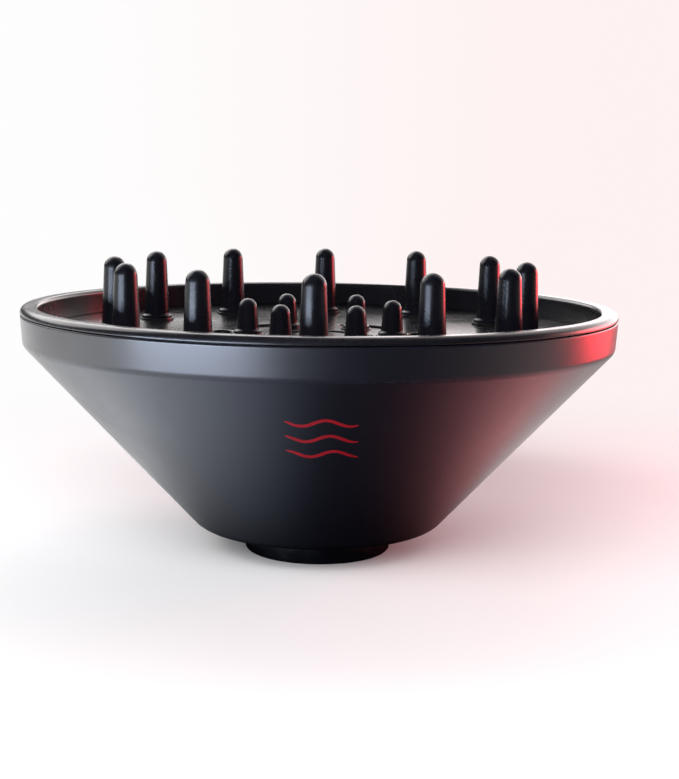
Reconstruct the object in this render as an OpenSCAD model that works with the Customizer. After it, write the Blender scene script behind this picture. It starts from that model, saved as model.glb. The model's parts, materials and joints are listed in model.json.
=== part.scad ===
// Wide bowl diffuser for a hair dryer: a satin bowl with a thick rim, a recessed plate of upright fingers
// and a short neck that pushes on to the dryer's nozzle. The bowl turns on its neck.
// Origin at the bottom centre of the neck, +Z up through the middle of the bowl, all sizes in mm.

/* [Bowl] */
// Outer diameter of the rim
rim_d = 180; // [150:1:216]
// Height of the rim's top above the bottom of the neck
rim_top = 76.2; // [63:0.1:92]
// Height of the upright band, from the cone to the rim's top
band_h = 11.2; // [10:0.1:14]
// How much smaller the radius is at the band's lower edge
band_draft = 0.6; // [0:0.1:1.5]
// Diameter of the corner between the cone and the underside
base_d = 75; // [62:0.5:90]
// Height of that corner above the bottom of the neck
base_top = 8.7; // [7.5:0.1:10.5]
// Wall thickness of the bowl
wall = 2.2; // [1.8:0.1:2.7]
// Outside rounding of the corner between the cone and the underside
base_round = 7.2; // [3:0.1:9]
// Outside rounding between the band and the cone
band_round = 3; // [1:0.1:5]

/* [Rim ring] */
// Width of the lip seen from above
lip_w = 5.2; // [4.8:0.1:6.5]
// Outer rounding of the lip
lip_round = 1.8; // [1:0.1:1.9]
// Inner rounding of the lip
lip_inner_round = 1.2; // [0.5:0.1:1.8]
// Height of the ring's outer face, from its parting line to its top
lip_h = 2; // [2:0.1:2.6]
// Width of the shadow line between the ring and the band
shadow_gap = 0.3; // [0.1:0.05:0.4]

/* [Finger plate] */
// Depth from the rim's top down to the outer edge of the plate
plate_depth = 7.6; // [6.5:0.1:9]
// How far the middle of the plate lies below its edge
plate_dish = 2.2; // [0:0.1:3]
// Thickness of the plate
plate_t = 2; // [1.6:0.1:2.4]
// Radial width of the outer air slots
slot_w = 6.5; // [4:0.1:8]
// Radial width of the middle air slots
centre_slot_w = 4.5; // [3:0.1:5]
// Angle that each air slot covers, without its round ends
slot_sweep = 28; // [20:1:32]

/* [Fingers] */
// Number of outer fingers
outer_count = 12; // [8:1:14]
// Radius of the ring of outer fingers
outer_r = 63; // [52:0.1:76]
// How far the outer fingertips stand above the rim
outer_proud = 13.8; // [8:0.1:24]
// Diameter of an outer finger at its foot
outer_foot_d = 8.2; // [6.8:0.1:10]
// How much an outer finger's radius shrinks for each mm of height
outer_taper = 0.045; // [0.01:0.005:0.06]
// Number of inner fingers
inner_count = 6; // [3:1:6]
// Radius of the ring of inner fingers
inner_r = 22.2; // [18.5:0.1:27]
// How far the inner fingertips stand above the rim
inner_proud = 1.5; // [0:0.1:10]
// Diameter of an inner finger at its foot
inner_foot_d = 7; // [5.8:0.1:8.4]
// How much an inner finger's radius shrinks for each mm of height
inner_taper = 0.09; // [0.01:0.005:0.1]
// Radial clearance of a finger's stem in its hole
stem_gap = 0.05; // [0.02:0.01:0.1]

/* [Neck] */
// Diameter of the dryer nozzle that the neck takes
nozzle_d = 40; // [33:0.1:48]
// Depth that the nozzle pushes in
nozzle_depth = 14; // [11:0.5:17]
// Thickness of the silicone sleeve that grips the nozzle
sleeve_t = 1; // [0.8:0.05:1.2]
// Wall of the neck outside the sleeve
neck_wall = 1.45; // [1.2:0.05:2]
// Height of the neck that shows under the bowl
neck_h = 5; // [4:0.1:6]
// Rounding of the neck's lower edge
neck_round = 1; // [0.5:0.1:1.2]
// Radial clearance between the neck and the bowl that turns on it
swivel_gap = 0.05; // [0.02:0.01:0.1]
// Thickness of the snap ring
snap_t = 1.2; // [1:0.1:1.5]

/* [Baffle] */
// Diameter of the air baffle
baffle_d = 56; // [54:0.5:68]
// Depth of the baffle's cone
cone_h = 9; // [6:0.5:12]
// Gap between the plate and the baffle's flat rim
baffle_gap = 12; // [10:0.5:15]
// Thickness of the baffle
baffle_t = 1.8; // [1.5:0.1:2.2]
// Number of posts and screws that hold the baffle
post_count = 3; // [2:1:3]
// Diameter of the baffle's posts
post_d = 7; // [6:0.1:8]
// Thread diameter of the baffle's screws
screw_d = 3; // [2.5:0.1:3.5]

/* [Hidden] */
// Facets that stand for a full circle, a rounded corner and the plate's dish
$fn = 96;
arc_steps = 8;
dish_steps = 5;
// How far a cutting shape runs past the face that it cuts
past = 0.5;

rim_r = rim_d / 2;
base_r = base_d / 2;
nozzle_r = nozzle_d / 2;

// Band, cone and underside of the bowl
band_bottom = rim_top - band_h;
band_r = rim_r - band_draft;
band_inner_r = band_r - wall;
parting_z = rim_top - lip_h;
cone_angle = atan2(band_bottom - base_top, band_r - base_r);
cone_run = wall / sin(cone_angle);

// Tongue on top of the band, and the groove in the rim ring that fits over it
tongue_h = 0.8;
tongue_w = 0.9;
tongue_gap = 0.1;
line_round = 0.5;

// Finger plate, and the ledge in the bowl that carries it
plate_edge = rim_top - plate_depth;
plate_gap = 0.3;
plate_r = band_inner_r - plate_gap;
ledge_w = 2.4;
ledge_z = plate_edge - plate_t;
ledge_r = plate_r - ledge_w;

// Seats on the plate, and the fingers' flanges, stems and catches that fit them
seat_h = 0.4;
seat_margin = 0.6;
flange_w = 0.8;
flange_h = 0.9;
flange_round = 0.4;
foot_round = 0.8;
stem_step = 0.9;
stem_wall = 1.1;
tip_wall = 2.2;
dome_flat = 0.05;
catch_w = 0.3;
catch_h = 1.2;
catch_gap = 0.05;
inner_turn = 180 / inner_count;

// Gap between an inner finger's seat and the air slots on either side of it
slot_margin = 1.2;

// Neck: a shoulder carries the bowl, and a narrower spigot passes through the lid of the bowl's throat
sleeve_gap = 0.05;
sleeve_r = nozzle_r + sleeve_t + sleeve_gap;
neck_r = sleeve_r + neck_wall;
mouth_lip = 2;
mouth_gap = 0.4;
mouth_round = 0.3;
shoulder_h = 2;
shoulder_z = nozzle_depth + shoulder_h;
play = 0.08;
lid_t = 2;
lid_z = shoulder_z + play;
throat_r = neck_r + swivel_gap;
throat_wall = 2;
spigot_r = nozzle_r + 0.4;
spigot_wall = 2.1;
edge_round = 0.5;

// Snap ring in its groove above the throat's lid
groove_z = lid_z + lid_t + play;
groove_depth = 0.9;
snap_gap = 0.05;
snap_w = 2.6;
snap_opening = 16;
spigot_top = groove_z + snap_t + 2;

// Baffle under the plate, its posts, and the screws that go up through them into the plate's bosses
boss_h = 7;
screw_gap = 0.05;
screw_reach = 6;
head_d = 5.6;
head_h = 2;
drive_d = 2.8;
drive_depth = 1.1;
cone_tip_r = 3;
cone_r = inner_r - post_d / 2 - 1.5;

function outer_name(i) = str("outer_finger_", i < 10 ? "0" : "", i);
function inner_name(i) = str("inner_finger_", i);

// Points of the arc of radius r that rounds corner b of the path a, b, c
function corner_arc(a, b, c, r) =
    let (u = (a - b) / norm(a - b), v = (c - b) / norm(c - b))
    let (half = acos(u * v) / 2, centre = b + (u + v) / norm(u + v) * r / sin(half))
    let (first = b + u * r / tan(half) - centre, last = b + v * r / tan(half) - centre)
    let (from = atan2(first.y, first.x), turn = atan2(last.y, last.x) - from)
    let (sweep = turn > 180 ? turn - 360 : turn < -180 ? turn + 360 : turn)
    [for (i = [0 : arc_steps])
        let (angle = from + sweep * i / arc_steps)
        centre + r * [cos(angle), sin(angle)]];

// Outline of [radius, height, rounding] entries with its corners rounded, as plain points
function rounded(outline) = [
    for (i = [0 : len(outline) - 1])
        let (n = len(outline), p = outline[i], a = outline[(i + n - 1) % n], c = outline[(i + 1) % n])
        each p.z == 0 ? [[p.x, p.y]] : corner_arc([a.x, a.y], [p.x, p.y], [c.x, c.y], p.z)
];

// Solid of revolution from such an outline
module turned(outline) {
    rotate_extrude() polygon(rounded(outline));
}

// Turns its children to place number i of a ring, counted from the front
module at(i, count, radius, turn = 0) {
    rotate(turn + 360 / count * i) translate([0, -radius, 0]) children();
}

// The same, at every place of the ring
module ring_of(count, radius, turn = 0) {
    for (i = [0 : count - 1]) at(i, count, radius, turn) children();
}

// The same, at every post of the baffle and at height z. The posts lie midway between inner fingers.
module at_posts(z) {
    for (k = [0 : post_count - 1])
        rotate(round(k * inner_count / post_count) * 360 / inner_count)
            translate([0, -inner_r, z]) children();
}

// Heights of the inside of the bowl's floor and of the plate's two faces at a radius.
// The plate is dished inside the ledge and flat where it lies on it.
function floor_z(r) =
    let (slope = (base_top - neck_h) / (base_r - neck_r))
    base_top + wall * sqrt(1 + slope * slope) + slope * (r - base_r);
function plate_z(r) = plate_edge - plate_dish * (1 - pow(min(r / ledge_r, 1), 2));
function plate_under(r) = plate_z(r) - plate_t;

// Sizes that a finger and its place on the plate share, from the diameter of its foot
function seat_r(foot_d) = foot_d / 2 + flange_w + seat_margin;
function stem_r(foot_d) = foot_d / 2 - stem_step;
function hole_r(foot_d) = stem_r(foot_d) + stem_gap;
function seat_z(radius, foot_d) = plate_z(radius + seat_r(foot_d)) + seat_h;
function seat_bottom(radius, foot_d) = plate_under(radius - seat_r(foot_d));

module bowl_shell() {
    // Corner inside the wall, where the inner faces of the floor and the cone meet
    slope = (base_top - neck_h) / (base_r - neck_r);
    rise = cone_run * tan(cone_angle) - wall * sqrt(1 + slope * slope);
    corner_r = base_r - rise / (tan(cone_angle) - slope);
    ledge_foot = band_bottom - (band_r - cone_run - ledge_r) * tan(cone_angle);
    tongue_r = band_inner_r + tongue_w;
    color("#17181c") turned([
        [throat_r, neck_h, 0],
        [base_r, base_top, base_round],
        [band_r, band_bottom, band_round],
        [rim_r, parting_z - shadow_gap, line_round],
        [tongue_r, parting_z - shadow_gap, 0],
        [tongue_r, parting_z + tongue_h, 0],
        [band_inner_r, parting_z + tongue_h, 0],
        [band_inner_r, ledge_z, 0],
        [ledge_r, ledge_z, 0],
        [ledge_r, ledge_foot, 0],
        [corner_r, floor_z(corner_r), base_round - wall],
        [throat_r + throat_wall, floor_z(throat_r + throat_wall), 0],
        [throat_r + throat_wall, lid_z + lid_t, edge_round],
        [spigot_r + swivel_gap, lid_z + lid_t, 0],
        [spigot_r + swivel_gap, lid_z, 0],
        [throat_r, lid_z, 0]
    ]);
}

module rim_ring() {
    skirt_r = band_inner_r - tongue_gap;
    groove_r = band_inner_r + tongue_w + tongue_gap;
    groove_top = parting_z + tongue_h + tongue_gap;
    color("#1c1c1f") turned([
        [rim_r, parting_z, 0],
        [rim_r, rim_top, lip_round],
        [rim_r - lip_w, rim_top, lip_inner_round],
        [rim_r - lip_w, plate_edge, 0],
        [skirt_r, plate_edge, 0],
        [skirt_r, groove_top, 0],
        [groove_r, groove_top, 0],
        [groove_r, parting_z, 0]
    ]);
}

// Curved slot through the plate with round ends, from an inner to an outer radius, centred on the front
module air_slot(inner, width) {
    foot = plate_under(0) - past;
    depth = plate_edge - foot + past;
    translate([0, 0, foot]) {
        rotate(-90 - slot_sweep / 2)
            rotate_extrude(angle = slot_sweep) translate([inner, 0]) square([width, depth]);
        for (side = [-1, 1])
            rotate(side * slot_sweep / 2)
                translate([0, -inner - width / 2, 0]) cylinder(d = width, h = depth);
    }
}

// Flat-topped seat on the plate for a finger's flange
module seat(radius, foot_d) {
    foot = seat_bottom(radius, foot_d);
    translate([0, 0, foot]) cylinder(r = seat_r(foot_d), h = seat_z(radius, foot_d) - foot);
}

// Hole through a seat for a finger's stem
module stem_hole(radius, foot_d) {
    translate([0, 0, seat_bottom(radius, foot_d) - past])
        cylinder(r = hole_r(foot_d), h = plate_t + plate_dish + seat_h + 2 * past);
}

module finger_plate() {
    radii = concat([for (i = [0 : dish_steps]) ledge_r * i / dish_steps], plate_r);
    top = [for (r = radii) [r, plate_z(r)]];
    under = [for (i = [len(radii) - 1 : -1 : 0]) [radii[i], plate_under(radii[i])]];
    boss_foot = plate_under(inner_r) - boss_h;
    clear_r = seat_r(inner_foot_d) + slot_margin;
    color("#202226") difference() {
        union() {
            rotate_extrude() polygon(concat(top, under));
            ring_of(outer_count, outer_r) seat(outer_r, outer_foot_d);
            ring_of(inner_count, inner_r, inner_turn) seat(inner_r, inner_foot_d);
            at_posts(boss_foot) cylinder(d = post_d, h = boss_h + plate_t / 2);
        }
        ring_of(outer_count, outer_r) stem_hole(outer_r, outer_foot_d);
        ring_of(inner_count, inner_r, inner_turn) stem_hole(inner_r, inner_foot_d);
        at_posts(boss_foot - past) cylinder(d = screw_d + 2 * screw_gap, h = screw_reach + 2 * past);
        for (i = [0 : inner_count - 1]) rotate(inner_turn + 360 / inner_count * i) {
            air_slot(inner_r + clear_r, slot_w);
            air_slot(inner_r - clear_r - centre_slot_w, centre_slot_w);
        }
    }
}

// Hollow finger standing on its seat, with a flange, a stem through the plate and a catch under it
module finger(radius, foot_d, tip_z, taper) {
    seat_top = seat_z(radius, foot_d);
    foot_z = seat_top + flange_h;
    foot_r = foot_d / 2;
    top_r = foot_r - taper * (tip_z - foot_z);
    dome_r = top_r * tan(45 + atan(taper) / 2) - dome_flat;
    stem = stem_r(foot_d);
    bore_r = stem - stem_wall;
    catch_top = seat_bottom(radius, foot_d) - catch_gap;
    catch_r = hole_r(foot_d) + catch_w;
    turned([
        [bore_r, catch_top - catch_h, 0],
        [stem, catch_top - catch_h, 0],
        [catch_r, catch_top, 0],
        [stem, catch_top, 0],
        [stem, seat_top, 0],
        [foot_r + flange_w, seat_top, 0],
        [foot_r + flange_w, foot_z, flange_round],
        [foot_r, foot_z, foot_round],
        [top_r, tip_z, dome_r],
        [0, tip_z, 0],
        [0, tip_z - tip_wall, 0],
        [bore_r, tip_z - tip_wall - bore_r, 0]
    ]);
}

module outer_finger(i) {
    color("#0e0f13") at(i - 1, outer_count, outer_r)
        finger(outer_r, outer_foot_d, rim_top + outer_proud, outer_taper);
}

module inner_finger(i) {
    color("#0e0f13") at(i - 1, inner_count, inner_r, inner_turn)
        finger(inner_r, inner_foot_d, rim_top + inner_proud, inner_taper);
}

// Underside of the baffle's flat rim
baffle_z = plate_under(inner_r) - baffle_gap - baffle_t;

module air_baffle() {
    top_z = baffle_z + baffle_t;
    color("#26272b") difference() {
        union() {
            turned([
                [0, baffle_z - cone_h, 0],
                [cone_tip_r, baffle_z - cone_h, cone_tip_r],
                [cone_r, baffle_z, cone_tip_r],
                [baffle_d / 2, baffle_z, edge_round],
                [baffle_d / 2, top_z, edge_round],
                [cone_r, top_z, cone_tip_r],
                [cone_tip_r, top_z - cone_h, cone_tip_r],
                [0, top_z - cone_h, 0]
            ]);
            at_posts(baffle_z + baffle_t / 2) cylinder(d = post_d, h = baffle_gap - boss_h + baffle_t / 2);
        }
        at_posts(baffle_z - past)
            cylinder(d = screw_d + 2 * screw_gap, h = baffle_gap + baffle_t + 2 * past);
    }
}

module baffle_screws() {
    shank = baffle_t + baffle_gap - boss_h + screw_reach;
    color("#8a8c90") at_posts(baffle_z) difference() {
        union() {
            cylinder(d = screw_d, h = shank);
            translate([0, 0, -head_h]) cylinder(d = head_d, h = head_h);
        }
        translate([0, 0, -head_h - past]) cylinder(d = drive_d, h = drive_depth + past, $fn = 6);
    }
}

module neck_collar() {
    groove_r = spigot_r - groove_depth;
    groove_top = groove_z + snap_t + 2 * snap_gap;
    color("#101115") turned([
        [nozzle_r + mouth_gap, 0, mouth_round],
        [neck_r, 0, neck_round],
        [neck_r, shoulder_z, 0],
        [spigot_r, shoulder_z, 0],
        [spigot_r, groove_z, 0],
        [groove_r, groove_z, 0],
        [groove_r, groove_top, 0],
        [spigot_r, groove_top, 0],
        [spigot_r, spigot_top, edge_round],
        [spigot_r - spigot_wall, spigot_top, edge_round],
        [spigot_r - spigot_wall, nozzle_depth, 0],
        [sleeve_r, nozzle_depth, 0],
        [sleeve_r, mouth_lip, 0],
        [nozzle_r + mouth_gap, mouth_lip, 0]
    ]);
}

module grip_sleeve() {
    color("#3a3b40") turned([
        [nozzle_r, mouth_lip + sleeve_gap, 0],
        [sleeve_r - sleeve_gap, mouth_lip + sleeve_gap, 0],
        [sleeve_r - sleeve_gap, nozzle_depth - sleeve_gap, 0],
        [nozzle_r, nozzle_depth - sleeve_gap, 0]
    ]);
}

// Open ring whose gap faces the back
module snap_ring() {
    inner = spigot_r - groove_depth + snap_gap;
    color("#9a9ca0") translate([0, 0, groove_z + snap_gap])
        rotate(90 + snap_opening / 2)
            rotate_extrude(angle = 360 - snap_opening) translate([inner, 0]) square([snap_w, snap_t]);
}

bowl_shell();
rim_ring();
finger_plate();
for (i = [1 : outer_count])
    outer_finger(i);
for (i = [1 : inner_count])
    inner_finger(i);
air_baffle();
baffle_screws();
neck_collar();
grip_sleeve();
snap_ring();
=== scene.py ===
"""Bowl diffuser for a hair dryer: detailed visual pieces, their finishes and a plain studio, made round
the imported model."""

import json
import math

import bmesh
import bpy
from bpy.props import FloatProperty, FloatVectorProperty, IntProperty, PointerProperty
from bpy.types import Operator, Panel, PropertyGroup
from mathutils import Matrix, Vector
from mathutils.geometry import delaunay_2d_cdt


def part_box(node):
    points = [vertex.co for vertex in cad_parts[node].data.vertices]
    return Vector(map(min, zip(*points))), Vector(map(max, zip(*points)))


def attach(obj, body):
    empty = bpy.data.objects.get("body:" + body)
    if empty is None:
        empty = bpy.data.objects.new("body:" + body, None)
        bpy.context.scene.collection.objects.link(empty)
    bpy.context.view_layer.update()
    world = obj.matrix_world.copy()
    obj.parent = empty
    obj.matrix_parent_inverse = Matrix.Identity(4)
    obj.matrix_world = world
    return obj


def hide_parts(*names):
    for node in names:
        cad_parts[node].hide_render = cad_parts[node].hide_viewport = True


bl_info = {
    "name": "Bowl diffuser",
    "version": (1, 0, 0),
    "blender": (4, 5, 0),
    "location": "3D View > Sidebar > Diffuser",
    "description": "Builds a hair dryer's bowl diffuser, its finishes and a studio round its packed model",
    "category": "Add Mesh",
}

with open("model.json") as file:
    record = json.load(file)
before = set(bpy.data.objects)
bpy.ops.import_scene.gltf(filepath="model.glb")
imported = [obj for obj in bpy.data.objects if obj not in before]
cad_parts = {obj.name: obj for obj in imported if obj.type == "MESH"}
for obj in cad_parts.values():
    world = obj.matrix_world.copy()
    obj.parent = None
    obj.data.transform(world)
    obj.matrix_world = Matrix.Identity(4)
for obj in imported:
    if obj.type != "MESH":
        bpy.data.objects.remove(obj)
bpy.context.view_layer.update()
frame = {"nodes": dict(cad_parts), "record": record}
MM = 0.001

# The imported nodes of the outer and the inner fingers, and the number of screws in their one node
OUTER_NODES = sorted(n for n in frame["nodes"] if n.startswith("outer_finger_"))
INNER_NODES = sorted(n for n in frame["nodes"] if n.startswith("inner_finger_"))
SCREW_COUNT = 3
# The first inner finger and the first slots stand half a step from the front
INNER_FIRST = math.pi / len(INNER_NODES)

# Points on a rounded corner, and round a large turned piece, the plate's edge, the baffle, a finger or
# post, a screw and a small hole
ARC_STEPS = 8
BIG_TURNS = 288
PLATE_TURNS = 240
BAFFLE_TURNS = 192
SMALL_TURNS = 56
SCREW_TURNS = 48
HOLE_TURNS = 32
# Angle from which an edge is left sharp
SHARP = math.radians(34)
# Distance of the holding loop that keeps a flat face flat beside a rounded corner
HOLD = 0.2 * MM
# How much less than a full dome rounds a finger's tip, so that the arc stays clear of the axis
DOME_GAP = 0.02 * MM
# A hollow between two grip ribs, as (share of the pitch, share of the depth) pairs
RIB_HOLLOW = ((0.3, 0), (0.45, 0.7), (0.6, 1), (0.75, 0.7), (0.9, 0))
# Points along a line of the mark, how late its ends taper, and the least share of its squared width there
MARK_STEPS = 72
MARK_TAPER = 5
MARK_END = 0.12


# ---------------------------------------------------------------- sizes and colours

def length(name, description, default, low=0.0, high=0.2):
    """A length in metres that the panel shows with its unit."""
    return FloatProperty(name=name, description=description, default=default, min=low, max=high,
                         unit="LENGTH", subtype="DISTANCE", precision=5)


def colour(name, description, default):
    """A colour of a finish."""
    return FloatVectorProperty(name=name, description=description, default=default, size=3,
                               min=0.0, max=1.0, subtype="COLOR")


def share(name, description, default):
    """A number from 0 to 1."""
    return FloatProperty(name=name, description=description, default=default, min=0.0, max=1.0,
                         subtype="FACTOR")


class BowlSizes(PropertyGroup):
    """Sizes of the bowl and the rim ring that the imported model's boxes don't give."""

    wall: length("Wall", "Thickness of the bowl", 2.2 * MM)
    band_h: length("Band height", "From the cone to the rim's top", 11.2 * MM)
    band_draft: length("Band draft", "How much smaller the band's radius is at its foot", 0.6 * MM)
    base_r: length("Base radius", "Corner between the cone and the underside", 37.5 * MM)
    base_z: length("Base height", "Height of that corner", 8.7 * MM)
    base_round: length("Base rounding", "Rounding of that corner", 7.2 * MM)
    band_round: length("Band rounding", "Rounding between the band and the cone", 3.0 * MM)
    lip_w: length("Lip width", "Width of the rim's lip", 5.2 * MM)
    lip_h: length("Lip height", "From the rim's parting line to its top", 2.0 * MM)
    lip_round: length("Lip rounding", "Outer rounding of the lip", 1.8 * MM)
    lip_inner_round: length("Inner lip rounding", "Inner rounding of the lip", 1.2 * MM)
    shadow_gap: length("Shadow gap", "Line between the rim ring and the band", 0.3 * MM)
    tongue_h: length("Tongue height", "Tongue on the band that holds the rim ring", 0.8 * MM)
    tongue_w: length("Tongue width", "Width of that tongue", 0.9 * MM)
    tongue_gap: length("Tongue gap", "Clearance round that tongue", 0.1 * MM)
    line_round: length("Line rounding", "Rounding of the band beside the shadow gap", 0.5 * MM)
    parting_round: length("Parting rounding", "Rounding of the rim ring's lower edge", 0.15 * MM)
    edge_round: length("Edge rounding", "Rounding of a plain moulded edge", 0.25 * MM)


class PlateSizes(PropertyGroup):
    """Sizes of the finger plate and its air slots."""

    thickness: length("Thickness", "Thickness of the plate", 2.0 * MM)
    dish: length("Dish", "How far its middle lies below its edge", 2.2 * MM)
    ledge_w: length("Ledge", "Width of the flat edge that lies on the bowl's ledge", 2.4 * MM)
    outer_slot_r: length("Outer slot radius", "Middle of the outer air slots", 31.55 * MM)
    outer_slot_w: length("Outer slot width", "Width of the outer air slots", 6.5 * MM)
    middle_slot_r: length("Middle slot radius", "Middle of the middle air slots", 13.85 * MM)
    middle_slot_w: length("Middle slot width", "Width of the middle air slots", 4.5 * MM)
    slot_sweep: FloatProperty(name="Slot sweep", description="Angle of a slot without its round ends",
                              default=math.radians(28), subtype="ANGLE")
    edge_round: length("Slot rounding", "Rounding of the slots' top edges", 0.6 * MM)
    seat_h: length("Seat height", "Height of the round seats under the fingers", 0.4 * MM)
    seat_margin: length("Seat margin", "How far a seat reaches past a finger's flange", 0.6 * MM)
    boss_h: length("Boss height", "Height of the screw bosses under the plate", 7.0 * MM)
    boss_r: length("Boss radius", "Radius of those bosses", 3.5 * MM)
    boss_hole_h: length("Boss hole", "Depth of the screw hole in a boss", 6.5 * MM)


class FingerSizes(PropertyGroup):
    """Sizes that the fingers share."""

    outer_taper: FloatProperty(name="Outer taper", description="Radius lost for each unit of height",
                               default=0.045, min=0.0, max=0.1)
    inner_taper: FloatProperty(name="Inner taper", description="Radius lost for each unit of height",
                               default=0.09, min=0.0, max=0.1)
    flange_w: length("Flange width", "How far a flange stands out from its finger", 0.8 * MM)
    flange_h: length("Flange height", "Height of a flange", 0.9 * MM)
    flange_round: length("Flange rounding", "Rounding of a flange", 0.4 * MM)
    foot_round: length("Foot rounding", "Hollow corner between a finger and its flange", 0.8 * MM)
    stem_step: length("Stem step", "How much narrower the stem is than the foot", 0.9 * MM)
    stem_gap: length("Stem gap", "Clearance of a stem in its hole", 0.05 * MM)
    catch_w: length("Catch width", "How far a catch stands out past its hole", 0.3 * MM)
    catch_h: length("Catch height", "Height of a catch", 1.2 * MM)


class NeckSizes(PropertyGroup):
    """Sizes of the neck, its sleeve and the swivel."""

    mouth_gap: length("Mouth gap", "Clearance of the mouth round the nozzle", 0.4 * MM)
    mouth_lip: length("Mouth lip", "Height of the lip under the sleeve", 2.0 * MM)
    mouth_round: length("Mouth rounding", "Rounding of the mouth", 0.3 * MM)
    neck_round: length("Neck rounding", "Rounding of the neck's lower edge", 1.0 * MM)
    shoulder_z: length("Shoulder height", "Height of the shoulder that carries the bowl", 16.0 * MM)
    swivel_gap: length("Swivel gap", "Clearance between the neck and the bowl", 0.05 * MM)
    sleeve_gap: length("Sleeve gap", "Clearance round the sleeve and the snap ring", 0.05 * MM)
    play: length("Play", "End play of the swivel", 0.08 * MM)
    lid_t: length("Lid thickness", "Thickness of the lid of the bowl's throat", 2.0 * MM)
    throat_wall: length("Throat wall", "Wall of the bowl's throat", 2.0 * MM)
    neck_h: length("Neck height", "Height of the neck that shows under the bowl", 5.0 * MM)
    spigot_wall: length("Spigot wall", "Wall of the spigot", 2.1 * MM)
    groove_depth: length("Groove depth", "Depth of the snap ring's groove", 0.9 * MM)
    groove_h: length("Groove height", "Height of that groove", 1.3 * MM)
    sleeve_ribs: IntProperty(name="Sleeve ribs", description="Grip ribs inside the sleeve", default=5)
    rib_depth: length("Rib depth", "Depth of the hollows between the ribs", 0.35 * MM)


class Finishes(PropertyGroup):
    """Colours and gloss of the finishes."""

    bowl: colour("Bowl", "Satin plastic of the bowl", (0.0034, 0.0035, 0.0062))
    rim: colour("Rim", "Satin plastic of the rim ring", (0.0040, 0.0040, 0.0056))
    plate: colour("Plate", "Half-gloss plastic of the plate", (0.0045, 0.0047, 0.0060))
    finger: colour("Fingers", "Gloss plastic of the fingers", (0.0028, 0.0030, 0.0048))
    neck: colour("Neck", "Gloss plastic of the neck", (0.0028, 0.0030, 0.0048))
    sleeve: colour("Sleeve", "Silicone of the sleeve", (0.030, 0.031, 0.035))
    baffle: colour("Baffle", "Matt plastic of the baffle", (0.018, 0.018, 0.021))
    steel: colour("Steel", "Zinc-plated and spring steel", (0.46, 0.47, 0.49))
    mark: colour("Mark", "Ink of the air-flow mark", (0.27, 0.004, 0.009))
    bowl_roughness: share("Bowl roughness", "Roughness of the satin plastic", 0.32)
    plate_roughness: share("Plate roughness", "Roughness of the plate", 0.24)
    finger_roughness: share("Finger roughness", "Roughness of the fingers", 0.27)
    wear: share("Wear", "How worn the edges are", 0.35)
    dust: share("Dust", "How dusty the upper faces are", 0.25)


class MarkSizes(PropertyGroup):
    """Sizes of the printed air-flow mark on the cone."""

    lines: IntProperty(name="Lines", description="Number of wavy lines", default=3)
    width: length("Width", "Width of the mark", 19.0 * MM)
    pitch: length("Pitch", "Distance between lines along the cone", 6.6 * MM)
    wave: length("Wave", "Half the height of a wave", 1.25 * MM)
    stroke: length("Stroke", "Width of a line", 1.15 * MM)
    film: length("Film", "Thickness of the ink", 0.03 * MM)
    middle_x: length("Middle offset", "How far the mark's middle lies to the right", 2.7 * MM)
    middle_z: length("Middle height", "Height of the mark's middle", 48.0 * MM)
    waves: FloatProperty(name="Waves", description="Waves in a line", default=1.5, min=0.5, max=6.0)
    lag: FloatProperty(name="Lag", description="How much later in its wave each line starts",
                       default=0.5, subtype="ANGLE")


class BaffleSizes(PropertyGroup):
    """Sizes of the air baffle under the plate."""

    cone_h: length("Cone depth", "Depth of the baffle's cone", 9.0 * MM)
    thickness: length("Thickness", "Thickness of the baffle", 1.8 * MM)
    tip_r: length("Tip rounding", "Rounding of the cone's tip and foot", 3.0 * MM)
    edge_round: length("Edge rounding", "Rounding of the baffle's rim", 0.5 * MM)
    post_r: length("Post radius", "Radius of the posts", 3.5 * MM)
    margin: length("Margin", "Flat between the cone and the posts", 1.5 * MM)


class ScrewSizes(PropertyGroup):
    """Sizes of the screws that hold the baffle."""

    head_r: length("Head radius", "Radius of the head", 2.8 * MM)
    head_h: length("Head height", "Height of the head", 2.0 * MM)
    crown: length("Crown", "Rounding of the head", 0.8 * MM)
    drive_r: length("Drive radius", "Radius over the corners of the hexagonal recess", 1.4 * MM)
    drive_h: length("Drive depth", "Depth of that recess", 1.1 * MM)
    drive_bevel: length("Drive bevel", "Widening of the recess at its mouth", 0.15 * MM)
    drive_lip: length("Drive lip", "Depth of that widening", 0.1 * MM)
    shank_r: length("Shank radius", "Radius of the shank", 1.5 * MM)
    hole_r: length("Hole radius", "Radius of the holes in the posts and bosses", 1.55 * MM)


class DiffuserSettings(PropertyGroup):
    """Everything that the panel shows."""

    bowl: PointerProperty(type=BowlSizes)
    plate: PointerProperty(type=PlateSizes)
    fingers: PointerProperty(type=FingerSizes)
    neck: PointerProperty(type=NeckSizes)
    baffle: PointerProperty(type=BaffleSizes)
    screws: PointerProperty(type=ScrewSizes)
    mark: PointerProperty(type=MarkSizes)
    finishes: PointerProperty(type=Finishes)


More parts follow.
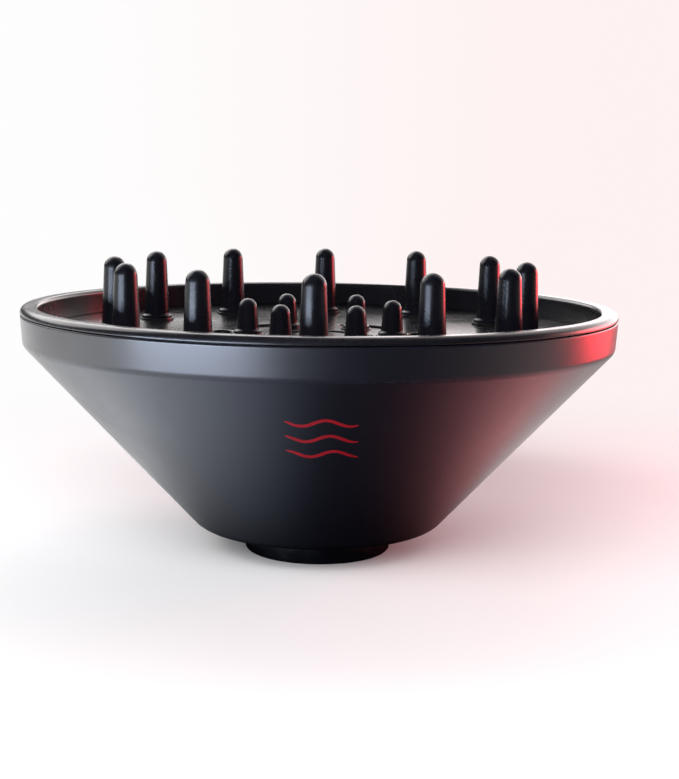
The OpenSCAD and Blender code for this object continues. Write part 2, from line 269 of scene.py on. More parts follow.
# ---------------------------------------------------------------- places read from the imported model

class Places:
    """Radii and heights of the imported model, in metres."""

    def __init__(self, settings):
        bowl, plate, neck = settings.bowl, settings.plate, settings.neck
        rim_low, rim_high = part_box("rim_ring")
        self.rim_r, self.rim_z = rim_high.x, rim_high.z
        self.plate_edge = rim_low.z
        self.band_r = self.rim_r - bowl.band_draft
        self.band_z = self.rim_z - bowl.band_h
        self.band_inner_r = self.band_r - bowl.wall
        self.cone_angle = math.atan2(self.band_z - bowl.base_z, self.band_r - bowl.base_r)
        self.parting_z = self.rim_z - bowl.lip_h
        self.plate_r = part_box("finger_plate")[1].x
        self.ledge_r = self.plate_r - plate.ledge_w
        neck_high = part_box("neck_collar")[1]
        self.neck_r, self.spigot_z = neck_high.x, neck_high.z
        self.throat_r = self.neck_r + neck.swivel_gap
        self.lid_z = neck.shoulder_z + neck.play
        socket = next(m for m in frame["record"]["mounts"] if m["name"] == "nozzle_socket")
        self.nozzle_r = socket["dims"]["r_mm"] * MM
        self.spigot_r = self.nozzle_r + neck.mouth_gap
        sleeve_low, sleeve_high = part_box("grip_sleeve")
        self.sleeve_r, self.sleeve_low, self.sleeve_high = sleeve_high.x, sleeve_low.z, sleeve_high.z
        self.seat_r, self.seat_top = self.sleeve_r + neck.sleeve_gap, self.sleeve_high + neck.sleeve_gap
        self.groove_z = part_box("snap_ring")[0].z - neck.sleeve_gap
        self.dish = plate.dish
        self.plate_t = plate.thickness

    def plate_z(self, r):
        """Height of the plate's upper face at a radius."""
        return self.plate_edge - self.dish * (1 - min(r / self.ledge_r, 1) ** 2)

    def plate_under(self, r):
        """Height of the plate's lower face at a radius."""
        return self.plate_z(r) - self.plate_t

    def cone_r(self, z, bowl):
        """Radius of the outside of the cone at a height."""
        rise = (z - bowl.base_z) / (self.band_z - bowl.base_z)
        return bowl.base_r + rise * (self.band_r - bowl.base_r)


class Finger:
    """Radii and heights of the fingers of one ring, from its first node."""

    def __init__(self, node, taper, settings, places):
        fingers, plate = settings.fingers, settings.plate
        low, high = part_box(node)
        self.ring_r = Vector(((low.x + high.x) / 2, (low.y + high.y) / 2)).length
        self.flange_r = (high.x - low.x) / 2
        self.foot_r = self.flange_r - fingers.flange_w
        self.tip_z, self.low_z = high.z, low.z
        self.seat_r = self.flange_r + plate.seat_margin
        self.seat_z = places.plate_z(self.ring_r + self.seat_r) + plate.seat_h
        self.stem_r = self.foot_r - fingers.stem_step
        self.hole_r = self.stem_r + fingers.stem_gap
        self.foot_z = self.seat_z + fingers.flange_h
        self.tip_r = self.foot_r - taper * (self.tip_z - self.foot_z)
        self.dome_r = self.tip_r * math.tan(math.radians(45) + math.atan(taper) / 2) - DOME_GAP


def both_fingers(s, p):
    """The outer and the inner finger."""
    return (Finger(OUTER_NODES[0], s.fingers.outer_taper, s, p),
            Finger(INNER_NODES[0], s.fingers.inner_taper, s, p))


# ---------------------------------------------------------------- outlines

def corner(a, b, c, radius):
    """Points of the arc that rounds corner b of the path a, b, c, with a holding point on either side."""
    u, v = (a - b).normalized(), (c - b).normalized()
    half = u.angle(v) / 2
    reach = radius / math.tan(half)
    centre = b + (u + v).normalized() * radius / math.sin(half)
    first, last = b + u * reach - centre, b + v * reach - centre
    turn = first.angle_signed(last)
    start = math.atan2(first.y, first.x)
    points = []
    room = (a - b).length - reach
    if room > 2 * HOLD:
        points.append((b + u * (reach + HOLD), 0.0))
    for i in range(ARC_STEPS + 1):
        angle = start - turn * i / ARC_STEPS
        edge = math.sin(math.pi * i / ARC_STEPS)
        points.append((centre + radius * Vector((math.cos(angle), math.sin(angle))), edge))
    if (c - b).length - reach > 2 * HOLD:
        points.append((b + v * (reach + HOLD), 0.0))
    return points


def rounded(outline, closed=True):
    """(point, edge) pairs of an outline of (radius, height, rounding) entries. Edge is 1 on the crest of a
    corner that stands out, where wear shows, and 0 on flat and hollow places."""
    n, result = len(outline), []
    corners = [Vector(p[:2]) for p in outline]
    for i, (b, entry) in enumerate(zip(corners, outline)):
        a, c = corners[i - 1], corners[(i + 1) % n]
        if entry[2] == 0 or (not closed and i in (0, n - 1)):
            result.append((b, 0.0))
            continue
        stands_out = (b - a).cross(c - b) > 0
        result += [(p, edge if stands_out else 0.0) for p, edge in corner(a, b, c, entry[2])]
    return result


def profile_object(name, outline, closed=True):
    """A curve-like mesh of an outline in the XZ plane, for the lathe tree to turn."""
    points = rounded(outline, closed)
    mesh = bpy.data.meshes.new(name)
    edges = [(i, i + 1) for i in range(len(points) - 1)]
    mesh.from_pydata([(p.x, 0, p.y) for p, _ in points], edges, [])
    crest = mesh.attributes.new("edge", "FLOAT", "POINT")
    crest.data.foreach_set("value", [edge for _, edge in points])
    return link(name, mesh)


def link(name, mesh):
    """A new object of that mesh in the scene."""
    piece = bpy.data.objects.new(name, mesh)
    bpy.context.scene.collection.objects.link(piece)
    return piece


# ---------------------------------------------------------------- node trees

GEOMETRY, FLOAT, INT = "NodeSocketGeometry", "NodeSocketFloat", "NodeSocketInt"
VECTOR, MATERIAL, BOOL = "NodeSocketVector", "NodeSocketMaterial", "NodeSocketBool"


class Nodes:
    """A node tree under construction, with short calls for its nodes and links."""

    def __init__(self, tree):
        tree.nodes.clear()
        self.tree = tree

    def node(self, kind, settings=None, **inputs):
        """A node with its settings and its inputs, each a value or another node's output. An input goes by
        its label, with _ for a space, or by _ and its number."""
        made = self.tree.nodes.new(kind)
        for key, value in (settings or {}).items():
            setattr(made, key, value)
        for key, value in inputs.items():
            socket = made.inputs[int(key[1:])] if key[0] == "_" else made.inputs[key.replace("_", " ")]
            self.feed(socket, value)
        return made

    def feed(self, socket, value):
        """Links an output to an input, or sets its value."""
        if isinstance(value, bpy.types.NodeSocket):
            self.tree.links.new(value, socket)
        else:
            socket.default_value = value

    def math(self, operation, a, b=0.0):
        """The result of one sum."""
        return self.node("ShaderNodeMath", {"operation": operation}, _0=a, _1=b).outputs[0]

    def times(self, a, b):
        """The product of two numbers."""
        return self.math("MULTIPLY", a, b)

    def weighed(self, a, a_share, b, b_share):
        """The sum of two numbers, each times its share."""
        return self.math("ADD", self.times(a, a_share), self.times(b, b_share))

    def parts(self, vector):
        """The X, Y and Z of a vector."""
        return self.node("ShaderNodeSeparateXYZ", _0=vector).outputs

    def noise(self, place, scale, detail, **more):
        """Soft noise from 0 to 1."""
        return self.node("ShaderNodeTexNoise", Vector=place, Scale=scale, Detail=detail, **more).outputs[0]

    def ranged(self, value, span, result=(0.0, 1.0), kind="LINEAR"):
        """The result that lies as far between its two ends as the value does in its span."""
        return self.node("ShaderNodeMapRange", {"interpolation_type": kind}, _0=value, _1=span[0],
                         _2=span[1], _3=result[0], _4=result[1]).outputs[0]

    def smooth(self, value, span, result=(0.0, 1.0)):
        """The same, with a soft start and end."""
        return self.ranged(value, span, result, "SMOOTHSTEP")

    def mixed(self, mask, a, b):
        """The number a where the mask is 0, b where it is 1."""
        return self.node("ShaderNodeMix", _0=mask, _2=a, _3=b).outputs[0]

    def blended(self, mask, a, b):
        """The colour a where the mask is 0, b where it is 1."""
        return self.node("ShaderNodeMix", {"data_type": "RGBA"}, _0=mask, _6=a, _7=b).outputs[2]

    def either(self, mask, a, b):
        """The shader a where the mask is 0, b where it is 1."""
        return self.node("ShaderNodeMixShader", _0=mask, _1=a.outputs[0], _2=b.outputs[0])


class Tree(Nodes):
    """A node group with named inputs and one output."""

    def __init__(self, name, kind, inputs, output):
        super().__init__(bpy.data.node_groups.new(name, kind))
        for label, socket, default in inputs:
            made = self.tree.interface.new_socket(label, in_out="INPUT", socket_type=socket)
            if default is not None:
                made.default_value = default
        self.tree.interface.new_socket(output[0], in_out="OUTPUT", socket_type=output[1])
        self.inputs = self.node("NodeGroupInput").outputs
        self.end = self.node("NodeGroupOutput")

    def giving(self, value):
        """The finished group, with that value as its output."""
        self.feed(self.end.inputs[0], value)
        return self.tree


def lathe_tree():
    """Turns an outline in the XZ plane round the Z axis, then moves the solid to its place."""
    t = Tree("Lathe", "GeometryNodeTree",
             [("Outline", GEOMETRY, None), ("Turns", INT, BIG_TURNS), ("Closed", BOOL, True),
              ("Place", VECTOR, None), ("Material", MATERIAL, None)],
             ("Solid", GEOMETRY))
    count = t.node("GeometryNodeAttributeDomainSize", {"component": "MESH"},
                   Geometry=t.inputs["Outline"]).outputs["Point Count"]
    steps = t.math("ADD", t.math("SUBTRACT", count, 1.0), t.inputs["Closed"])
    grid = t.node("GeometryNodeMeshGrid", Size_X=steps, Size_Y=1.0,
                  Vertices_X=t.math("ADD", steps, 1.0), Vertices_Y=t.math("ADD", t.inputs["Turns"], 1.0))
    position = t.node("GeometryNodeInputPosition").outputs[0]
    place = t.parts(position)
    number = t.math("ROUND", t.math("ADD", place["X"], t.times(steps, 0.5)))
    number = t.math("MODULO", number, count)
    angle = t.times(t.math("ADD", place["Y"], 0.5), 2 * math.pi)
    point = t.node("GeometryNodeSampleIndex", {"data_type": "FLOAT_VECTOR", "domain": "POINT"},
                   Geometry=t.inputs["Outline"], Value=position, Index=number)
    crest = t.node("GeometryNodeInputNamedAttribute", {"data_type": "FLOAT"}, Name="edge")
    edge = t.node("GeometryNodeSampleIndex", {"data_type": "FLOAT", "domain": "POINT"},
                  Geometry=t.inputs["Outline"], Value=crest.outputs["Attribute"], Index=number)
    flat = t.parts(point.outputs[0])
    x = t.times(t.times(flat["X"], t.math("SINE", angle)), -1.0)
    y = t.times(t.times(flat["X"], t.math("COSINE", angle)), -1.0)
    turned = t.node("ShaderNodeCombineXYZ", X=x, Y=y, Z=flat["Z"])
    moved = t.node("ShaderNodeVectorMath", {"operation": "ADD"}, _0=turned.outputs[0], _1=t.inputs["Place"])
    marked = t.node("GeometryNodeStoreNamedAttribute", {"data_type": "FLOAT", "domain": "POINT"},
                    Geometry=grid.outputs["Mesh"], Name="edge", Value=edge.outputs[0])
    shaped = t.node("GeometryNodeSetPosition", Geometry=marked.outputs[0], Position=moved.outputs[0])
    closed = t.node("GeometryNodeMergeByDistance", Geometry=shaped.outputs[0], Distance=1e-7)
    smooth = t.node("GeometryNodeSetShadeSmooth", Geometry=closed.outputs[0])
    real = t.node("GeometryNodeRealizeInstances", Geometry=smooth.outputs[0])
    done = t.node("GeometryNodeSetMaterial", Geometry=real.outputs[0], Material=t.inputs["Material"])
    return t.giving(done.outputs[0])


def ring_tree():
    """Copies a piece round the Z axis, evenly and from a first angle."""
    t = Tree("Ring of copies", "GeometryNodeTree",
             [("Piece", GEOMETRY, None), ("Count", INT, 12), ("First angle", FLOAT, 0.0),
              ("Material", MATERIAL, None)],
             ("Copies", GEOMETRY))
    points = t.node("GeometryNodePoints", Count=t.inputs["Count"])
    step = t.math("DIVIDE", 2 * math.pi, t.inputs["Count"])
    turn = t.math("ADD", t.inputs["First angle"],
                  t.times(t.node("GeometryNodeInputIndex").outputs[0], step))
    turned = t.node("FunctionNodeAxisAngleToRotation", Axis=(0.0, 0.0, 1.0), Angle=turn)
    copies = t.node("GeometryNodeInstanceOnPoints", Points=points.outputs[0], Instance=t.inputs["Piece"],
                    Rotation=turned.outputs[0])
    real = t.node("GeometryNodeRealizeInstances", Geometry=copies.outputs[0])
    done = t.node("GeometryNodeSetMaterial", Geometry=real.outputs[0], Material=t.inputs["Material"])
    return t.giving(done.outputs[0])


def tree_named(name, build):
    """The node tree of that name, built the first time that it is asked for."""
    return bpy.data.node_groups.get(name) or build()


def add_tree(piece, tree, **values):
    """Adds a geometry node modifier and sets its inputs by their identifiers."""
    modifier = piece.modifiers.new(tree.name, "NODES")
    modifier.node_group = tree
    for item in tree.interface.items_tree:
        key = item.name.replace(" ", "_")
        if item.item_type == "SOCKET" and item.in_out == "INPUT" and key in values:
            modifier[item.identifier] = values[key]


def settle(piece):
    """Turns a piece's modifiers into its own plain mesh, smooth but for its real corners."""
    depsgraph = bpy.context.evaluated_depsgraph_get()
    mesh = bpy.data.meshes.new_from_object(piece.evaluated_get(depsgraph), depsgraph=depsgraph)
    piece.modifiers.clear()
    piece.data = mesh
    mesh.name = piece.name
    mesh.set_sharp_from_angle(angle=SHARP)
    return piece


def turned_piece(name, outline, material, turns=BIG_TURNS, closed=True, place=(0, 0, 0)):
    """A lathe-turned piece from its outline."""
    piece = profile_object(name, outline, closed)
    add_tree(piece, tree_named("Lathe", lathe_tree), Turns=turns, Closed=closed, Place=place,
             Material=material)
    return piece


def ring_of(piece, count, first_angle, material):
    """Adds the ring of copies to a piece that stands at the front."""
    add_tree(piece, tree_named("Ring of copies", ring_tree), Count=count, First_angle=first_angle,
             Material=material)


# ---------------------------------------------------------------- effects that the finishes share

class Effect(Tree):
    """A shader node group that takes a place and some numbers, and gives one number."""

    def __init__(self, name, result, **numbers):
        sockets = [(label, FLOAT, default) for label, default in numbers.items()]
        super().__init__(name, "ShaderNodeTree", [("Vector", VECTOR, None), *sockets], (result, FLOAT))
        self.place = self.inputs["Vector"]

    def per(self, label):
        """How many times the length of an input goes into a metre."""
        return self.math("DIVIDE", 1.0, self.inputs[label])


def grain_group():
    """Fine moulded grain: a height from 0 to 1."""
    t = Effect("Moulded grain", "Height", Size=0.4 * MM)
    scale = t.per("Size")
    fine = t.noise(t.place, scale, 2.0, Roughness=0.55)
    cells = t.node("ShaderNodeTexVoronoi", {"feature": "SMOOTH_F1"}, Vector=t.place,
                   Scale=t.times(scale, 0.6), Smoothness=0.6)
    return t.giving(t.weighed(fine, 0.65, cells.outputs["Distance"], 0.5))


def handling_group():
    """Faint marks of handling: a roughness that wanders between two values."""
    t = Effect("Handling marks", "Roughness", Size=30 * MM, Low=0.3, High=0.4)
    scale = t.per("Size")
    broad = t.noise(t.place, scale, 3.0, Distortion=0.8)
    small = t.noise(t.place, t.times(scale, 9.0), 2.0)
    wander = t.weighed(broad, 0.75, small, 0.25)
    return t.giving(t.ranged(wander, (0.35, 0.65), (t.inputs["Low"], t.inputs["High"])))


def wear_group():
    """Rubbed crests of edges, broken up by noise: a mask."""
    t = Effect("Edge wear", "Mask", Size=2 * MM, Amount=0.3)
    crest = t.node("ShaderNodeAttribute", {"attribute_name": "edge"}).outputs["Fac"]
    noise = t.noise(t.place, t.per("Size"), 4.0, Roughness=0.65)
    rubbed = t.ranged(t.weighed(crest, 0.6, noise, 0.75), (0.86, 1.02))
    return t.giving(t.times(rubbed, t.inputs["Amount"]))


def dust_group():
    """Specks of dust on faces that look up: a mask."""
    t = Effect("Dust", "Mask", Size=2.5 * MM, Amount=0.2)
    scale = t.per("Size")
    cells = t.node("ShaderNodeTexVoronoi", {"feature": "F1"}, Vector=t.place, Scale=scale)
    speck = t.ranged(cells.outputs["Distance"], (0.10, 0.05))
    patch = t.ranged(t.noise(t.place, t.times(scale, 0.2), 5.0), (0.45, 0.75), (0.05, 1.0))
    up = t.ranged(t.parts(t.node("ShaderNodeNewGeometry").outputs["Normal"])["Z"], (0.5, 1.0))
    return t.giving(t.times(t.times(t.times(speck, patch), up), t.inputs["Amount"]))


def scratch_group():
    """Hair-fine scratches that run one way: a height from 0 to 1."""
    t = Effect("Fine scratches", "Height", Length=20 * MM, Width=0.3 * MM)
    place, long, wide = t.parts(t.place), t.per("Length"), t.per("Width")
    stretched = t.node("ShaderNodeCombineXYZ", X=t.times(place["X"], long), Y=t.times(place["Y"], wide),
                       Z=t.times(place["Z"], wide))
    return t.giving(t.ranged(t.noise(stretched.outputs[0], 1.0, 1.0), (0.66, 0.74)))


# ---------------------------------------------------------------- finishes

DUST_GREY = (0.32, 0.31, 0.30, 1.0)


class Finish(Nodes):
    """A material under construction: one Principled shader, fed by the shared effects."""

    def __init__(self, name, base, roughness, **constants):
        self.material = bpy.data.materials.get(name) or bpy.data.materials.new(name)
        self.material.use_nodes = True
        super().__init__(self.material.node_tree)
        self.base = (*base, 1.0)
        self.material.diffuse_color = self.base
        self.shader = self.node("ShaderNodeBsdfPrincipled", Base_Color=self.base, Roughness=roughness,
                                **constants)
        self.node("ShaderNodeOutputMaterial", Surface=self.shader.outputs[0])
        self.place = self.node("ShaderNodeTexCoord").outputs["Object"]
        self.heights = []

    def effect(self, name, build, **values):
        """A shared effect's output, with this material's own values."""
        group = {"node_tree": tree_named(name, build)}
        return self.node("ShaderNodeGroup", group, Vector=self.place, **values).outputs[0]

    def grain(self, size, depth):
        """Moulded grain of that size and depth."""
        self.heights.append((self.effect("Moulded grain", grain_group, Size=size), depth))

    def scratches(self, long, wide, depth):
        """Fine scratches of that depth."""
        self.heights.append((self.effect("Fine scratches", scratch_group, Length=long, Width=wide), depth))

    def handling(self, size, low, high):
        """A number that wanders between two values."""
        return self.effect("Handling marks", handling_group, Size=size, Low=low, High=high)

    def wear(self, size, amount):
        """Mask of the rubbed edges."""
        return self.effect("Edge wear", wear_group, Size=size, Amount=amount)

    def shade(self, factor):
        """The base colour made lighter or darker."""
        return (*(min(1.0, c * factor) for c in self.base[:3]), 1.0)

    def patchy(self, size, most, factor):
        """The base colour with soft patches of another shade of it, which cover it by up to most."""
        return self.blended(self.handling(size, 0.0, most), self.base, self.shade(factor))

    def dusty(self, colour, size, amount):
        """That colour under specks of dust."""
        return self.blended(self.effect("Dust", dust_group, Size=size, Amount=amount), colour, DUST_GREY)

    def finish(self, colour, roughness):
        """Links the colour, the roughness and the heights, and returns the material."""
        self.feed(self.shader.inputs["Base Color"], colour)
        self.feed(self.shader.inputs["Roughness"], roughness)
        below = {}
        for height, depth in self.heights:
            bump = self.node("ShaderNodeBump", Strength=1.0, Distance=depth, Height=height, **below)
            below = {"Normal": bump.outputs[0]}
        self.feed(self.shader.inputs["Normal"], below["Normal"])
        return self.material


def satin_plastic(name, base, roughness, finishes):
    """Satin moulded plastic with fine grain, faint handling marks, rubbed edges and a little dust."""
    f = Finish(name, base, roughness, Specular_IOR_Level=0.5)
    f.grain(0.35 * MM, 0.004 * MM)
    wear = f.wear(1.6 * MM, finishes.wear)
    rubbed = f.blended(wear, f.patchy(50 * MM, 0.5, 1.35), f.shade(4.0))
    gloss = f.handling(28 * MM, roughness - 0.03, roughness + 0.035)
    return f.finish(f.dusty(rubbed, 4 * MM, finishes.dust), f.mixed(wear, gloss, roughness - 0.14))


def bowl_finish(finishes):
    """Soft satin black of the bowl."""
    return satin_plastic("bowl_satin", finishes.bowl, finishes.bowl_roughness, finishes)


def rim_finish(finishes):
    """Satin black of the rim ring, a little smoother where hands rub it."""
    return satin_plastic("rim_satin", finishes.rim, finishes.bowl_roughness - 0.06, finishes)


def plate_finish(finishes):
    """Smooth half-gloss black with faint scratches from combing."""
    roughness = finishes.plate_roughness
    f = Finish("plate_satin_gloss", finishes.plate, roughness, Specular_IOR_Level=0.5)
    f.grain(1.2 * MM, 0.003 * MM)
    f.scratches(12 * MM, 0.4 * MM, 0.004 * MM)
    rubbed = f.blended(f.wear(1.2 * MM, finishes.wear), f.base, f.shade(3.0))
    return f.finish(f.dusty(rubbed, 3.5 * MM, finishes.dust),
                    f.handling(20 * MM, roughness - 0.05, roughness + 0.06))


def finger_finish(finishes):
    """Gloss black of the fingers, with the faint waviness of a moulded post."""
    roughness = finishes.finger_roughness
    f = Finish("finger_gloss", finishes.finger, roughness, Specular_IOR_Level=0.28)
    f.grain(2.2 * MM, 0.006 * MM)
    f.scratches(0.2 * MM, 4 * MM, 0.003 * MM)
    return f.finish(f.blended(f.wear(1 * MM, finishes.wear), f.base, f.shade(4.0)),
                    f.handling(12 * MM, roughness - 0.04, roughness + 0.07))


def neck_finish(finishes):
    """Gloss black of the neck, uneven where the dryer has rubbed it."""
    f = Finish("neck_gloss", finishes.neck, 0.15, Specular_IOR_Level=0.5, Coat_Weight=0.25,
               Coat_Roughness=0.06)
    f.grain(1.8 * MM, 0.005 * MM)
    return f.finish(f.blended(f.wear(1.2 * MM, finishes.wear), f.base, f.shade(5.0)),
                    f.handling(10 * MM, 0.11, 0.24))


def sleeve_finish(finishes):
    """Dark grey silicone with a dry bloom and lint."""
    f = Finish("sleeve_silicone", finishes.sleeve, 0.58, Specular_IOR_Level=0.45, Sheen_Weight=0.15,
               Sheen_Roughness=0.4)
    f.grain(0.5 * MM, 0.01 * MM)
    return f.finish(f.dusty(f.patchy(6 * MM, 0.8, 1.8), 2 * MM, finishes.dust),
                    f.handling(8 * MM, 0.5, 0.68))


def baffle_finish(finishes):
    """Plain matt black, greyed by the dust that the air brings."""
    f = Finish("baffle_matte", finishes.baffle, 0.62, Specular_IOR_Level=0.4)
    f.grain(0.6 * MM, 0.012 * MM)
    return f.finish(f.dusty(f.base, 1.8 * MM, min(1.0, 2 * finishes.dust)),
                    f.handling(12 * MM, 0.55, 0.7))


def steel_finish(name, finishes, tint, size):
    """Plated or spring steel with drawn lines and a dull film."""
    f = Finish(name, [c * t for c, t in zip(finishes.steel, tint)], 0.32, Metallic=1.0)
    f.scratches(size, size / 40, 0.008 * MM)
    return f.finish(f.patchy(3 * MM, 0.9, 0.62), f.handling(2 * MM, 0.26, 0.46))


def mark_finish(finishes):
    """Pad-printed ink, thin in places so that the plastic shows through as fine specks."""
    f = Finish("mark_ink", finishes.mark, 0.4, Specular_IOR_Level=0.35)
    f.grain(0.4 * MM, 0.006 * MM)
    thin = f.ranged(f.noise(f.place, 2600.0, 3.0), (0.64, 0.72), (0.0, 0.85))
    return f.finish(f.blended(thin, f.base, f.shade(0.12)), f.handling(6 * MM, 0.34, 0.5))


# ---------------------------------------------------------------- the bowl's pieces

def bowl_outline(s, p):
    """Outline of the bowl: floor, cone, band, tongue, ledge and the throat with its lid."""
    b, n = s.bowl, s.neck
    slope, angle = (b.base_z - n.neck_h) / (b.base_r - p.neck_r), p.cone_angle
    run = b.wall / math.sin(angle)

    def floor_z(r):
        return b.base_z + b.wall * math.hypot(1, slope) + slope * (r - b.base_r)

    rise = run * math.tan(angle) - b.wall * math.hypot(1, slope)
    corner_r = b.base_r - rise / (math.tan(angle) - slope)
    ledge_z = p.plate_edge - s.plate.thickness
    ledge_foot = p.band_z - (p.band_r - run - p.ledge_r) * math.tan(angle)
    tongue_r = p.band_inner_r + b.tongue_w
    step_z = p.parting_z - b.shadow_gap
    throat_out = p.throat_r + n.throat_wall
    lid_top = p.lid_z + n.lid_t
    lid_r = p.spigot_r + n.swivel_gap
    return [
        (p.throat_r, n.neck_h, b.edge_round),
        (b.base_r, b.base_z, b.base_round),
        (p.band_r, p.band_z, b.band_round),
        (p.rim_r, step_z, b.line_round),
        (tongue_r, step_z, 0),
        (tongue_r, p.parting_z + b.tongue_h, 0),
        (p.band_inner_r, p.parting_z + b.tongue_h, 0),
        (p.band_inner_r, ledge_z, 0),
        (p.ledge_r, ledge_z, b.edge_round),
        (p.ledge_r, ledge_foot, 0),
        (corner_r, floor_z(corner_r), b.base_round - b.wall),
        (throat_out, floor_z(throat_out), 0),
        (throat_out, lid_top, b.edge_round),
        (lid_r, lid_top, b.edge_round),
        (lid_r, p.lid_z, 0),
        (p.throat_r, p.lid_z, 0),
    ]


def rim_outline(s, p):
    """Outline of the rim ring with the groove that fits over the band's tongue."""
    b = s.bowl
    inner_r = p.rim_r - b.lip_w
    groove_r = p.band_inner_r + b.tongue_w + b.tongue_gap
    groove_z = p.parting_z + b.tongue_h + b.tongue_gap
    skirt_r = p.band_inner_r - b.tongue_gap
    return [
        (p.rim_r, p.parting_z, b.parting_round),
        (p.rim_r, p.rim_z, b.lip_round),
        (inner_r, p.rim_z, b.lip_inner_round),
        (inner_r, p.plate_edge, b.edge_round),
        (skirt_r, p.plate_edge, 0),
        (skirt_r, groove_z, 0),
        (groove_r, groove_z, 0),
        (groove_r, p.parting_z, 0),
    ]


def finger_outline(f, s):
    """Outline of a finger from its axis and back: catch, stem, flange, tapered post and domed tip."""
    g = s.fingers
    catch_z = f.low_z + g.catch_h
    return [
        (0, f.low_z, 0),
        (f.stem_r, f.low_z, 0),
        (f.hole_r + g.catch_w, catch_z, 0),
        (f.stem_r, catch_z, 0),
        (f.stem_r, f.seat_z, 0),
        (f.flange_r, f.seat_z, 0),
        (f.flange_r, f.foot_z, g.flange_round),
        (f.foot_r, f.foot_z, g.foot_round),
        (f.tip_r, f.tip_z, f.dome_r),
        (0, f.tip_z, 0),
    ]


def neck_outline(s, p):
    """Outline of the neck: mouth, shoulder, spigot with the snap ring's groove, and the sleeve's seat."""
    n = s.neck
    mouth_r = p.nozzle_r + n.mouth_gap
    groove_r = p.spigot_r - n.groove_depth
    return [
        (mouth_r, 0, n.mouth_round),
        (p.neck_r, 0, n.neck_round),
        (p.neck_r, n.shoulder_z, 0),
        (p.spigot_r, n.shoulder_z, 0),
        (p.spigot_r, p.groove_z, 0),
        (groove_r, p.groove_z, 0),
        (groove_r, p.groove_z + n.groove_h, 0),
        (p.spigot_r, p.groove_z + n.groove_h, 0),
        (p.spigot_r, p.spigot_z, s.bowl.edge_round),
        (p.spigot_r - n.spigot_wall, p.spigot_z, s.bowl.edge_round),
        (p.spigot_r - n.spigot_wall, p.seat_top, 0),
        (p.seat_r, p.seat_top, 0),
        (p.seat_r, n.mouth_lip, 0),
        (mouth_r, n.mouth_lip, 0),
    ]


def sleeve_outline(s, p):
    """Outline of the sleeve, with soft grip ribs on its bore."""
    n = s.neck
    outline = [(p.nozzle_r, p.sleeve_low, 0), (p.sleeve_r, p.sleeve_low, 0), (p.sleeve_r, p.sleeve_high, 0)]
    pitch = (p.sleeve_high - p.sleeve_low) / n.sleeve_ribs
    for i in range(n.sleeve_ribs):
        top = p.sleeve_high - i * pitch
        outline.append((p.nozzle_r, top, 0))
        outline += [(p.nozzle_r + depth * n.rib_depth, top - at * pitch, 0)
                    for at, depth in RIB_HOLLOW]
    return outline


def baffle_outline(b, ring_r):
    """Outline of the baffle from its axis and back: a shallow cone with a flat rim for the posts."""
    low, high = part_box("air_baffle")
    under, top = low.z + b.cone_h, low.z + b.cone_h + b.thickness
    cone_r = ring_r - b.post_r - b.margin
    return [
        (0, low.z, 0),
        (b.tip_r, low.z, b.tip_r),
        (cone_r, under, b.tip_r),
        (high.x, under, b.edge_round),
        (high.x, top, b.edge_round),
        (cone_r, top, b.tip_r),
        (b.tip_r, top - b.cone_h, b.tip_r),
        (0, top - b.cone_h, 0),
    ]


def post_outline(b, hole_r):
    """Outline of a hollow post that stands in the baffle's rim and meets a boss of the plate."""
    low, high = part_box("air_baffle")
    foot = low.z + b.cone_h + b.thickness / 2
    return [(hole_r, foot, 0), (b.post_r, foot, 0), (b.post_r, high.z, b.edge_round), (hole_r, high.z, 0)]


def screw_rings(g):
    """Rings of a screw, as (height, radius at an angle) pairs, from the floor of its recess to its tip."""
    low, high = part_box("baffle_screws")
    sixth = math.pi / 3

    def hexagon(angle):
        side = (angle + sixth / 2) % sixth - sixth / 2
        return g.drive_r * math.cos(sixth / 2) / math.cos(side)

    rings = [(low.z + g.drive_h, hexagon), (low.z + g.drive_lip, hexagon),
             (low.z, lambda angle: hexagon(angle) + g.drive_bevel)]
    rounds = []
    for i in range(ARC_STEPS + 1):
        turn = math.pi / 2 * i / ARC_STEPS
        rounds.append((low.z + g.crown * (1 - math.cos(turn)), g.head_r - g.crown * (1 - math.sin(turn))))
    rounds += [(low.z + g.head_h, g.head_r), (low.z + g.head_h, g.shank_r),
               (high.z - g.shank_r / 2, g.shank_r), (high.z, g.shank_r / 2)]
    return rings + [(z, lambda angle, r=radius: r) for z, radius in rounds]


def mesh_of_rings(name, rings, centre, turns):
    """A closed piece from (height, radius at an angle) rings round a vertical axis, capped at both ends."""
    bm = bmesh.new()
    made = []
    for z, radius in rings:
        angles = [2 * math.pi * i / turns for i in range(turns)]
        made.append([bm.verts.new((centre.x + radius(a) * math.cos(a), centre.y + radius(a) * math.sin(a), z))
                     for a in angles])
    for a, b in zip(made, made[1:]):
        bridge(bm, a, b)
    bm.faces.new(made[0])
    bm.faces.new(made[-1])
    return from_bmesh(name, bm)


def bridge(bm, a, b):
    """Faces between two rings of as many points."""
    for i in range(len(a)):
        j = (i + 1) % len(a)
        bm.faces.new((a[i], a[j], b[j], b[i]))


def from_bmesh(name, bm, material=None):
    """A smooth object with outward faces from a finished bmesh."""
    bmesh.ops.recalc_face_normals(bm, faces=bm.faces)
    mesh = bpy.data.meshes.new(name)
    bm.to_mesh(mesh)
    bm.free()
    mesh.shade_smooth()
    mesh.set_sharp_from_angle(angle=SHARP)
    if material is not None:
        mesh.materials.append(material)
    return link(name, mesh)


def circle_points(centre, radius, turns=HOLE_TURNS):
    """Points of a circle."""
    return [(centre.x + radius * math.cos(2 * math.pi * i / turns),
             centre.y + radius * math.sin(2 * math.pi * i / turns)) for i in range(turns)]


def circle_gap(centre, radius):
    """A function that gives a point's distance outside a circle."""
    return lambda q: (q - centre).length - radius


